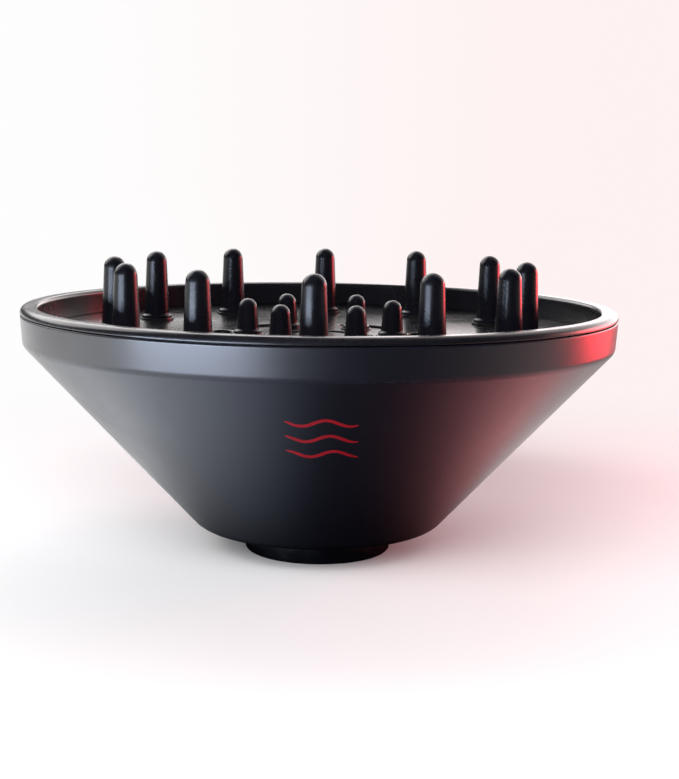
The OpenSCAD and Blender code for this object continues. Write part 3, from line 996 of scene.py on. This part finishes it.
def ring_places(ring_r, count, first):
    """Places evenly round the axis, from a first angle."""
    turns = [first + 2 * math.pi * i / count for i in range(count)]
    return [Vector((ring_r * math.sin(turn), -ring_r * math.cos(turn))) for turn in turns]


class PlateMesh:
    """The finger plate as one closed mesh: two dished sheets, the slots through them, and the finger
    seats above and screw bosses below."""

    # Distance between the inner points of a sheet
    SPACING = 2.4 * MM
    # Steps of a rounded edge, of a slot's long side and of its round end
    FILLET_STEPS = 4
    SIDE_STEPS = 16
    END_STEPS = 12
    # Rounding of the slots' lower edges, and bevels of a seat, a boss and the plate's own edge
    LOW_ROUND = 0.25 * MM
    SEAT_BEVEL = 0.15 * MM
    BOSS_BEVEL = 0.3 * MM
    RIM_BEVEL = 0.2 * MM
    # How far in from both faces the middle of a seat's bevel lies, as a share of the bevel
    BEVEL_MIDDLE = 0.3

    def __init__(self, s, p, outer, inner):
        self.s, self.p, self.outer, self.inner = s, p, outer, inner
        self.bm = bmesh.new()
        self.crest = self.bm.verts.layers.float.new("edge")
        self.top = {"height": p.plate_z, "loops": [], "holes": []}
        self.low = {"height": p.plate_under, "loops": [], "holes": []}

    def vert(self, x, y, z, edge=0.0):
        """A vertex with its wear."""
        made = self.bm.verts.new((x, y, z))
        made[self.crest] = edge
        return made

    def slot_points(self, middle_r, half, turn):
        """Outline of a slot of that half width, round ends included, centred on an angle from the front."""
        sweep = self.s.plate.slot_sweep / 2
        points = []
        for r, a, b in ((middle_r + half, -sweep, sweep), (middle_r - half, sweep, -sweep)):
            points += [(r * math.sin(turn + t), -r * math.cos(turn + t))
                       for t in (a + (b - a) * i / self.SIDE_STEPS for i in range(self.SIDE_STEPS + 1))]
            cap = turn + b
            centre = Vector((middle_r * math.sin(cap), -middle_r * math.cos(cap)))
            out = Vector((math.sin(cap), -math.cos(cap))) * (1 if r > middle_r else -1)
            along = Vector((math.cos(cap), math.sin(cap))) * (1 if b > 0 else -1)
            for i in range(1, self.END_STEPS):
                t = math.pi * i / self.END_STEPS
                q = centre + half * (out * math.cos(t) + along * math.sin(t))
                points.append((q.x, q.y))
        return points

    def steps(self, fillet):
        """(offset, drop, edge) of a rounded edge, from the holding loop on the sheet down to the wall."""
        result = [(fillet + HOLD, 0.0, 0.0)]
        for i in range(self.FILLET_STEPS + 1):
            t = math.pi / 2 * i / self.FILLET_STEPS
            result.append((fillet * (1 - math.sin(t)), fillet * (1 - math.cos(t)), math.sin(2 * t)))
        return result

    def hole_through(self, outline):
        """A rounded hole through both sheets. outline(offset) gives its points at that distance."""
        loops = []
        for offset, drop, edge in self.steps(self.s.plate.edge_round):
            loops.append([self.vert(x, y, self.p.plate_z(math.hypot(x, y)) - drop, edge)
                          for x, y in outline(offset)])
        for offset, drop, edge in reversed(self.steps(self.LOW_ROUND)):
            loops.append([self.vert(x, y, self.p.plate_under(math.hypot(x, y)) + drop, edge)
                          for x, y in outline(offset)])
        for a, b in zip(loops, loops[1:]):
            bridge(self.bm, a, b)
        self.top["loops"].append(loops[0])
        self.low["loops"].append(loops[-1])

    def turret(self, sheet, centre, profile):
        """Rings round a centre, from a sheet's own ring along (radius, height, edge) entries. A height of
        None follows that sheet. Returns the last ring."""
        rings = []
        for r, z, edge in profile:
            rings.append([self.vert(x, y, sheet["height"](math.hypot(x, y)) if z is None else z, edge)
                          for x, y in circle_points(centre, r)])
        for a, b in zip(rings, rings[1:]):
            bridge(self.bm, a, b)
        sheet["loops"].append(rings[0])
        return rings[-1]

    def fill(self, sheet):
        """Fills a sheet between its loops with near-even triangles."""
        points, owners, edges = [], [], []
        for loop in sheet["loops"]:
            first = len(points)
            points += [Vector(v.co.xy) for v in loop]
            owners += loop
            edges += [(first + i, first + (i + 1) % len(loop)) for i in range(len(loop))]
        rim = self.p.plate_r - 2 * self.SPACING
        for k in range(int(rim / self.SPACING) + 1):
            r = k * self.SPACING
            count = max(1, round(2 * math.pi * r / self.SPACING))
            for i in range(count):
                t = 2 * math.pi * (i + k / 2) / count
                q = Vector((r * math.cos(t), r * math.sin(t)))
                if all(gap(q) > self.SPACING / 3 for gap in sheet["holes"]):
                    points.append(q)
                    owners.append(self.vert(q.x, q.y, sheet["height"](r)))
        places, _, faces, sources, *_ = delaunay_2d_cdt(points, edges, [], 0, 1e-8)
        verts = [owners[source[0]] for source in sources]
        for face in faces:
            middle = sum((places[i] for i in face), Vector((0, 0))) / len(face)
            if all(gap(middle) > 0 for gap in sheet["holes"]) and middle.length < self.p.plate_r:
                self.bm.faces.new([verts[i] for i in face])

    def slot_gap(self, middle_r, half, turn):
        """A function that gives a point's distance outside a slot of that half width."""
        sweep = self.s.plate.slot_sweep / 2

        def gap(q):
            angle = math.atan2(q.x, -q.y) - turn
            angle = (angle + math.pi) % (2 * math.pi) - math.pi
            near = turn + max(-sweep, min(sweep, angle))
            return (q - Vector((middle_r * math.sin(near), -middle_r * math.cos(near)))).length - half
        return gap

    def build(self, name, material):
        """Makes every edge and both sheets, and returns the object."""
        plate = self.s.plate
        turns = [INNER_FIRST + 2 * math.pi * i / len(INNER_NODES) for i in range(len(INNER_NODES))]
        for turn in turns:
            for middle_r, width in ((plate.outer_slot_r, plate.outer_slot_w),
                                    (plate.middle_slot_r, plate.middle_slot_w)):
                self.hole_through(lambda o, r=middle_r, w=width, t=turn: self.slot_points(r, w / 2 + o, t))
                top_half, low_half = width / 2 + plate.edge_round + HOLD, width / 2 + self.LOW_ROUND + HOLD
                self.top["holes"].append(self.slot_gap(middle_r, top_half, turn))
                self.low["holes"].append(self.slot_gap(middle_r, low_half, turn))
        for f, count, first in ((self.outer, len(OUTER_NODES), 0.0),
                                (self.inner, len(INNER_NODES), INNER_FIRST)):
            for centre in ring_places(f.ring_r, count, first):
                self.seat(f, centre)
        for centre in ring_places(self.inner.ring_r, SCREW_COUNT, 0.0):
            self.boss(centre)
        self.rim()
        self.fill(self.top)
        self.fill(self.low)
        return from_bmesh(name, self.bm, material)

    def seat(self, f, centre):
        """A raised round seat with its stem hole."""
        bevel, middle = self.SEAT_BEVEL, self.SEAT_BEVEL * self.BEVEL_MIDDLE
        last = self.turret(self.top, centre, [
            (f.seat_r, None, 0), (f.seat_r, f.seat_z - bevel, 0),
            (f.seat_r - middle, f.seat_z - middle, 1), (f.seat_r - bevel, f.seat_z, 0),
            (f.seat_r - bevel - HOLD, f.seat_z, 0), (f.hole_r, f.seat_z, 0),
        ])
        first = self.turret(self.low, centre, [(f.hole_r, None, 0)])
        bridge(self.bm, last, first)
        self.top["holes"].append(circle_gap(centre, f.seat_r))
        self.low["holes"].append(circle_gap(centre, f.hole_r))

    def boss(self, centre):
        """A screw boss with its blind hole."""
        plate, hole_r, bevel = self.s.plate, self.s.screws.hole_r, self.BOSS_BEVEL
        boss_r, foot = plate.boss_r, self.p.plate_under(self.inner.ring_r) - plate.boss_h
        last = self.turret(self.low, centre, [
            (boss_r, None, 0), (boss_r, foot + bevel, 0), (boss_r - bevel, foot, 1),
            (hole_r + bevel, foot, 0), (hole_r, foot + bevel, 0), (hole_r, foot + plate.boss_hole_h, 0),
        ])
        self.bm.faces.new(last)
        self.low["holes"].append(circle_gap(centre, boss_r))

    def rim(self):
        """The plate's outer edge."""
        p, bevel, high = self.p, self.RIM_BEVEL, self.p.plate_edge
        low = high - p.plate_t
        rings = [[self.vert(x, y, z) for x, y in circle_points(Vector((0, 0)), r, PLATE_TURNS)]
                 for r, z in ((p.ledge_r, high), (p.plate_r - bevel - HOLD, high), (p.plate_r - bevel, high),
                              (p.plate_r, high - bevel), (p.plate_r, low), (p.ledge_r, low))]
        for a, b in zip(rings, rings[1:]):
            bridge(self.bm, a, b)
        for sheet, ring in ((self.top, rings[0]), (self.low, rings[-1])):
            sheet["loops"].append(ring)
            sheet["holes"].append(lambda q: p.ledge_r - q.length)


def mark_piece(s, p, material):
    """Thin wavy lines printed on the front of the cone."""
    m, angle = s.mark, p.cone_angle
    middle_r = p.cone_r(m.middle_z, s.bowl)

    def on_cone(u, v, lift):
        r = middle_r + v * math.cos(angle)
        out_r = r + lift * math.sin(angle)
        turn = u / r
        return (out_r * math.sin(turn), -out_r * math.cos(turn),
                m.middle_z + v * math.sin(angle) - lift * math.cos(angle))

    bm = bmesh.new()
    for line in range(m.lines):
        base_v = (line - (m.lines - 1) / 2) * m.pitch
        rings = []
        for i in range(MARK_STEPS + 1):
            t = 2 * i / MARK_STEPS - 1
            u, phase = m.middle_x + t * m.width / 2, t * m.waves * math.pi + line * m.lag
            v = base_v + m.wave * math.sin(phase)
            slope = m.wave * math.cos(phase) * 2 * m.waves * math.pi / m.width
            half = m.stroke / 2 * max(MARK_END, 1 - abs(t) ** MARK_TAPER) ** 0.5
            nu, nv = -slope / math.hypot(1, slope), 1 / math.hypot(1, slope)
            rings.append([bm.verts.new(on_cone(u + side * half * nu, v + side * half * nv, lift))
                          for side, lift in ((-1, -m.film), (-1, m.film), (1, m.film), (1, -m.film))])
        for a, c in zip(rings, rings[1:]):
            bridge(bm, a, c)
        bm.faces.new(rings[0])
        bm.faces.new(rings[-1])
    return from_bmesh("air_mark", bm, material)


# ---------------------------------------------------------------- studio

# The paper, the white of the backdrop and its painted pink light from the red lamp, and how far across the
# room the one turns into the other
PAPER = (0.86, 0.86, 0.87, 1.0)
BACKDROP_WHITE = (0.99, 0.985, 0.985, 1.0)
# Painted pink light of the red lamp on the backdrop
BACKDROP_PAINTED_PINK = (0.99, 0.885, 0.885, 1.0)
BACKDROP_SPAN = (-0.25, 0.17)
# Distances from the middle between which the paper turns into the backdrop
PAPER_FADE = (0.13, 0.38)
FLOOR_RADIUS = 6.0
FLOOR_TURNS = 96
# Painted light that the object sees in the paper in place of its lit colour: bluish painted light on the
# left, painted shade in front and painted pink light on the right, as (place from left to right, colour)
# pairs, and its strength
PAINTED_GLOW = ((0.0, (0.90, 0.93, 1.00)), (0.2, (0.67, 0.74, 0.87)), (0.335, (0.40, 0.445, 0.56)),
        (0.44, (0.15, 0.165, 0.22)), (0.53, (0.03, 0.03, 0.04)), (0.68, (0.03, 0.018, 0.022)),
        (0.80, (0.13, 0.055, 0.065)), (0.92, (0.46, 0.17, 0.19)), (1.0, (1.00, 0.38, 0.40)))
PAINTED_GLOW_STRENGTH = 2.4
# Distances from the middle between which the painted shadow of the bowl in the paper's glow ends
PAINTED_SHADOW_REACH = (0.028, 0.098)
# Places from the front, -1, to the back, 1, between which the painted glow turns into a share of the backdrop
BEHIND = (-0.15, 0.5)
BEHIND_SHARE = 0.5
BLACK = (0.0, 0.0, 0.0, 1.0)
# Distances from the middle over which the paper turns into far paper, the share of its colour that is kept
# near and far, and the places across the room between which the far paper's painted glow changes strength,
# with that painted strength on the left and on the right
FAR_REACH = (0.12, 0.34)
FAR_COLOUR = (1.0, 0.1)
FAR_SIDES = (-0.3, 0.45)
FAR_PAINTED_GLOW = (1.35, 0.40)
# The room that the object sees: on each axis, the places from -1 to 1 between which its strength changes,
# and the strength at either end
ROOM_DEPTH = ((-0.1, 0.7), (0.01, 1.1))
ROOM_SIDES = ((-0.05, 0.05), (0.08, 3.3))
ROOM_HEIGHT = ((0.15, 0.42), (1.0, 0.3))
# The softboxes: azimuth from the front in degrees, positive to the right, distance, height, size, watts,
# colour, and whether they are only reflected or only light the paper
SOFTBOXES = (
    ("key_light", -40, 0.42, 0.038, (0.34, 0.085), 2.7, (0.66, 0.77, 1.0), True),
    ("left_light", -138, 0.50, 0.44, (0.9, 0.5), 5.0, (1.0, 0.97, 0.965), True),
    ("back_light", 140, 0.50, 0.40, (0.5, 0.4), 0.4, (1.0, 0.93, 0.93), True),
    ("red_light", 117, 0.45, 0.08, (0.20, 0.18), 2.2, (1.0, 0.03, 0.045), True),
    ("pink_light", 105, 0.34, 0.10, (0.2, 0.2), 0.5, (1.0, 0.10, 0.15), False),
    ("paper_light", -16, 0.90, 0.52, (1.1, 0.8), 21.0, (1.0, 0.995, 0.995), False),
    ("paper_back_light", -165, 0.45, 0.60, (0.9, 0.7), 2.6, (1.0, 0.995, 0.995), False),
)
LIGHT_AIM = Vector((0, 0, 0.05))
# The camera's place, its lens and sensor, its clipping distances, and how far it is turned in degrees
CAMERA_PLACE = (11.0 * MM, -434.45 * MM, 115.9 * MM)
CAMERA_LENS = 65.62
CAMERA_SENSOR = 36.0
CAMERA_CLIP = (0.01, 20.0)
CAMERA_PAN = -0.62
CAMERA_TILT = 8.646
CAMERA_ROLL = 0.796


def stage_floor():
    """A flat round floor under the object."""
    bm = bmesh.new()
    bmesh.ops.create_circle(bm, cap_ends=True, radius=FLOOR_RADIUS, segments=FLOOR_TURNS)
    piece = from_bmesh("floor", bm, floor_finish())
    if piece.data.polygons[0].normal.z < 0:
        piece.data.flip_normals()
    return piece


def backdrop_colour(n, side):
    """White that turns to painted pink light towards the red lamp, from a place across the room."""
    return n.blended(n.smooth(side, BACKDROP_SPAN), BACKDROP_WHITE, BACKDROP_PAINTED_PINK)


def painted_glow_colour(n, side, depth, reach, backdrop):
    """Painted colour of the paper to the object: the painted glow of the lamps in front, the backdrop behind,
    both greyer far off.
    """
    glow = n.node("ShaderNodeValToRGB", _0=n.ranged(side, (-1.0, 1.0)))
    for i, (at, shade) in enumerate(PAINTED_GLOW):
        stop = glow.color_ramp.elements[i] if i < 2 else glow.color_ramp.elements.new(at)
        stop.position, stop.color = at, (*shade, 1.0)
    behind = n.blended(BEHIND_SHARE, BLACK, backdrop)
    painted_glow = n.blended(n.smooth(depth, BEHIND), glow.outputs[0], behind)
    kept = n.ranged(reach, FAR_REACH, FAR_COLOUR)
    return n.node("ShaderNodeHueSaturation", Saturation=kept, Color=painted_glow).outputs[0]


def painted_glow_strength(n, side, reach):
    """Strength of the paper's painted glow to the object: a painted shadow of nothing under the bowl, then
    the glow, then the far paper.
    """
    # Painted shadow of the bowl: the glow fades to nothing near the middle
    near = n.smooth(reach, PAINTED_SHADOW_REACH, (0.0, PAINTED_GLOW_STRENGTH))
    far = n.times(n.smooth(side, FAR_SIDES, FAR_PAINTED_GLOW), PAINTED_GLOW_STRENGTH)
    return n.mixed(n.smooth(reach, FAR_REACH), near, far)


def floor_finish():
    """Pale paper that fades into the backdrop with distance. It is clear from below, so that the object shows
    from every side. All but the camera see a painted glow in its place: painted light of the lamps, with a
    painted shadow where the bowl shades it."""
    material = bpy.data.materials.new("studio_paper")
    material.use_nodes = True
    n = Nodes(material.node_tree)
    place = n.node("ShaderNodeTexCoord").outputs["Object"]
    reach = n.node("ShaderNodeVectorMath", {"operation": "LENGTH"}, _0=place).outputs["Value"]
    # A place on the floor over its distance gives the side of the room that it lies on
    parts = n.parts(place)
    side, depth = n.math("DIVIDE", parts["X"], reach), n.math("DIVIDE", parts["Y"], reach)
    backdrop = backdrop_colour(n, side)
    paper = n.node("ShaderNodeBsdfDiffuse", Color=PAPER)
    seen = n.either(n.smooth(reach, PAPER_FADE), paper, n.node("ShaderNodeEmission", Color=backdrop))
    # Painted glow: emission that stands in for the lit paper in every reflection, with painted light and
    # painted shadow
    painted_glow = n.node("ShaderNodeEmission", Color=painted_glow_colour(n, side, depth, reach, backdrop),
                  Strength=painted_glow_strength(n, side, reach))
    top = n.either(n.node("ShaderNodeLightPath").outputs["Is Camera Ray"], painted_glow, seen)
    back = n.node("ShaderNodeNewGeometry").outputs["Backfacing"]
    both = n.either(back, top, n.node("ShaderNodeBsdfTransparent"))
    n.node("ShaderNodeOutputMaterial", Surface=both.outputs[0])
    return material


def studio_world():
    """White with painted pink light to the camera, and to the object a room that is brightest low down at the
    back and on the right, and dark in front."""
    world = bpy.data.worlds.new("studio")
    bpy.context.scene.world = world
    world.use_nodes = True
    n = Nodes(world.node_tree)
    parts = n.parts(n.node("ShaderNodeTexCoord").outputs["Generated"])
    strength = n.times(n.smooth(parts["Y"], *ROOM_DEPTH), n.smooth(parts["X"], *ROOM_SIDES))
    strength = n.times(strength, n.smooth(parts["Z"], *ROOM_HEIGHT))
    backdrop = backdrop_colour(n, parts["X"])
    room = n.node("ShaderNodeBackground", Color=backdrop, Strength=strength)
    seen = n.node("ShaderNodeBackground", Color=backdrop)
    mix = n.either(n.node("ShaderNodeLightPath").outputs["Is Camera Ray"], room, seen)
    n.node("ShaderNodeOutputWorld", Surface=mix.outputs[0])


def softbox(name, azimuth, distance, height, size, watts, colour, reflected):
    """A soft area light aimed at the object. It is either only reflected, or only lights the paper."""
    lamp = bpy.data.lights.new(name, "AREA")
    lamp.shape = "RECTANGLE"
    lamp.size, lamp.size_y = size
    lamp.energy = watts
    lamp.color = colour
    box = bpy.data.objects.new(name, lamp)
    bpy.context.scene.collection.objects.link(box)
    turn = math.radians(azimuth)
    box.location = (distance * math.sin(turn), -distance * math.cos(turn), height)
    box.rotation_mode = "QUATERNION"
    box.rotation_quaternion = (LIGHT_AIM - box.location).to_track_quat("-Z", "Y")
    box.visible_camera, box.visible_glossy, box.visible_diffuse = False, reflected, not reflected


def studio_camera():
    """The camera in front of the object, a little above it and slightly turned."""
    data = bpy.data.cameras.new("camera")
    data.sensor_width, data.lens = CAMERA_SENSOR, CAMERA_LENS
    data.clip_start, data.clip_end = CAMERA_CLIP
    camera = bpy.data.objects.new("camera", data)
    bpy.context.scene.collection.objects.link(camera)
    camera.location = CAMERA_PLACE
    camera.rotation_mode = "XYZ"
    turn = Matrix.Rotation(math.radians(-CAMERA_PAN), 4, "Z")
    turn = turn @ Matrix.Rotation(math.radians(90 - CAMERA_TILT), 4, "X")
    camera.rotation_euler = (turn @ Matrix.Rotation(math.radians(CAMERA_ROLL), 4, "Z")).to_euler()
    bpy.context.scene.camera = camera


# ---------------------------------------------------------------- operators

def settings_of(context):
    """The settings and the places that go with them."""
    return context.scene.diffuser, Places(context.scene.diffuser)


def finish_piece(piece, body, nodes=()):
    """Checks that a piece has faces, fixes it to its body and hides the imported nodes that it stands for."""
    if not len(piece.data.polygons):
        raise RuntimeError(f"{piece.name} has no faces")
    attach(piece, body)
    if nodes:
        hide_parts(*nodes)


class DIFFUSER_OT_bowl(Operator):
    """Makes the bowl with its cone, band and throat"""

    bl_idname = "diffuser.bowl"
    bl_label = "Bowl"

    def execute(self, context):
        s, p = settings_of(context)
        piece = turned_piece("bowl", bowl_outline(s, p), bowl_finish(s.finishes))
        finish_piece(settle(piece), "bowl", ["bowl_shell"])
        return {"FINISHED"}


class DIFFUSER_OT_rim(Operator):
    """Makes the rim ring with its rounded lip"""

    bl_idname = "diffuser.rim"
    bl_label = "Rim ring"

    def execute(self, context):
        s, p = settings_of(context)
        piece = turned_piece("rim", rim_outline(s, p), rim_finish(s.finishes))
        finish_piece(settle(piece), "bowl", ["rim_ring"])
        return {"FINISHED"}


class DIFFUSER_OT_plate(Operator):
    """Makes the dished plate with its slots, seats and bosses"""

    bl_idname = "diffuser.plate"
    bl_label = "Finger plate"

    def execute(self, context):
        s, p = settings_of(context)
        piece = PlateMesh(s, p, *both_fingers(s, p)).build("plate", plate_finish(s.finishes))
        finish_piece(piece, "bowl", ["finger_plate"])
        return {"FINISHED"}


class DIFFUSER_OT_fingers(Operator):
    """Makes both rings of fingers"""

    bl_idname = "diffuser.fingers"
    bl_label = "Fingers"

    def execute(self, context):
        s, p = settings_of(context)
        material = finger_finish(s.finishes)
        outer, inner = both_fingers(s, p)
        for name, f, nodes, first in (("outer_fingers", outer, OUTER_NODES, 0.0),
                                      ("inner_fingers", inner, INNER_NODES, INNER_FIRST)):
            piece = turned_piece(name, finger_outline(f, s), material, SMALL_TURNS, False,
                                 (0, -f.ring_r, 0))
            ring_of(piece, len(nodes), first, material)
            finish_piece(settle(piece), "bowl", nodes)
        return {"FINISHED"}


class DIFFUSER_OT_neck(Operator):
    """Makes the neck and its silicone sleeve"""

    bl_idname = "diffuser.neck"
    bl_label = "Neck and sleeve"

    def execute(self, context):
        s, p = settings_of(context)
        neck = turned_piece("neck", neck_outline(s, p), neck_finish(s.finishes))
        finish_piece(settle(neck), "collar", ["neck_collar"])
        sleeve = turned_piece("sleeve", sleeve_outline(s, p), sleeve_finish(s.finishes))
        finish_piece(settle(sleeve), "collar", ["grip_sleeve"])
        return {"FINISHED"}


class DIFFUSER_OT_baffle(Operator):
    """Makes the baffle, its posts and its screws"""

    bl_idname = "diffuser.baffle"
    bl_label = "Baffle and screws"

    def execute(self, context):
        s, p = settings_of(context)
        material, ring_r = baffle_finish(s.finishes), both_fingers(s, p)[1].ring_r
        disc = turned_piece("baffle", baffle_outline(s.baffle, ring_r), material, BAFFLE_TURNS, False)
        finish_piece(settle(disc), "bowl", ["air_baffle"])
        posts = turned_piece("baffle_posts", post_outline(s.baffle, s.screws.hole_r), material, SMALL_TURNS,
                             True, (0, -ring_r, 0))
        ring_of(posts, SCREW_COUNT, 0.0, material)
        finish_piece(settle(posts), "bowl")
        steel = steel_finish("screw_steel", s.finishes, (1.0, 1.0, 1.0), 4 * MM)
        screws = mesh_of_rings("screws", screw_rings(s.screws), Vector((0, -ring_r)), SCREW_TURNS)
        ring_of(screws, SCREW_COUNT, 0.0, steel)
        finish_piece(settle(screws), "bowl", ["baffle_screws"])
        return {"FINISHED"}


class DIFFUSER_OT_snap_ring(Operator):
    """Gives the snap ring its spring steel"""

    bl_idname = "diffuser.snap_ring"
    bl_label = "Snap ring"

    def execute(self, context):
        s, _ = settings_of(context)
        steel = steel_finish("ring_steel", s.finishes, (0.9, 0.86, 0.8), 6 * MM)
        for slot in frame["nodes"]["snap_ring"].material_slots:
            slot.material = steel
        return {"FINISHED"}


class DIFFUSER_OT_mark(Operator):
    """Prints the air-flow mark on the cone"""

    bl_idname = "diffuser.mark"
    bl_label = "Air-flow mark"

    def execute(self, context):
        s, p = settings_of(context)
        finish_piece(mark_piece(s, p, mark_finish(s.finishes)), "bowl")
        return {"FINISHED"}


class DIFFUSER_OT_stage(Operator):
    """Sets up the floor, the room, the lights and the camera"""

    bl_idname = "diffuser.stage"
    bl_label = "Studio"

    def execute(self, context):
        stage_floor()
        studio_world()
        for box in SOFTBOXES:
            softbox(*box)
        studio_camera()
        context.scene.view_settings.view_transform = "Standard"
        context.scene.view_settings.look = "None"
        return {"FINISHED"}


class DIFFUSER_PT_panel(Panel):
    """Lists the pieces and their sizes"""

    bl_idname = "DIFFUSER_PT_panel"
    bl_label = "Bowl diffuser"
    bl_space_type = "VIEW_3D"
    bl_region_type = "UI"
    bl_category = "Diffuser"

    def draw(self, context):
        for operator in OPERATORS:
            self.layout.operator(operator.bl_idname)
        settings = context.scene.diffuser
        for name in settings.bl_rna.properties.keys():
            group = getattr(settings, name)
            if isinstance(group, PropertyGroup):
                box = self.layout.box()
                box.label(text=settings.bl_rna.properties[name].name or name)
                for key in group.bl_rna.properties.keys():
                    if key not in {"rna_type", "name"}:
                        box.prop(group, key)


OPERATORS = (DIFFUSER_OT_bowl, DIFFUSER_OT_rim, DIFFUSER_OT_plate, DIFFUSER_OT_fingers, DIFFUSER_OT_neck,
             DIFFUSER_OT_baffle, DIFFUSER_OT_snap_ring, DIFFUSER_OT_mark, DIFFUSER_OT_stage)
GROUPS = (BowlSizes, PlateSizes, FingerSizes, NeckSizes, BaffleSizes, ScrewSizes, MarkSizes, Finishes,
          DiffuserSettings)


def register():
    """Registers the settings, the operators and the panel."""
    for cls in (*GROUPS, *OPERATORS, DIFFUSER_PT_panel):
        bpy.utils.register_class(cls)
    bpy.types.Scene.diffuser = PointerProperty(type=DiffuserSettings)


def unregister():
    """Takes them out again."""
    del bpy.types.Scene.diffuser
    for cls in reversed((*GROUPS, *OPERATORS, DIFFUSER_PT_panel)):
        bpy.utils.unregister_class(cls)


def main():
    """Makes every piece and the studio."""
    register()
    bpy.ops.diffuser.bowl()
    bpy.ops.diffuser.rim()
    bpy.ops.diffuser.plate()
    bpy.ops.diffuser.fingers()
    bpy.ops.diffuser.neck()
    bpy.ops.diffuser.baffle()
    bpy.ops.diffuser.snap_ring()
    bpy.ops.diffuser.mark()
    bpy.ops.diffuser.stage()


if __name__ == "__main__":
    main()
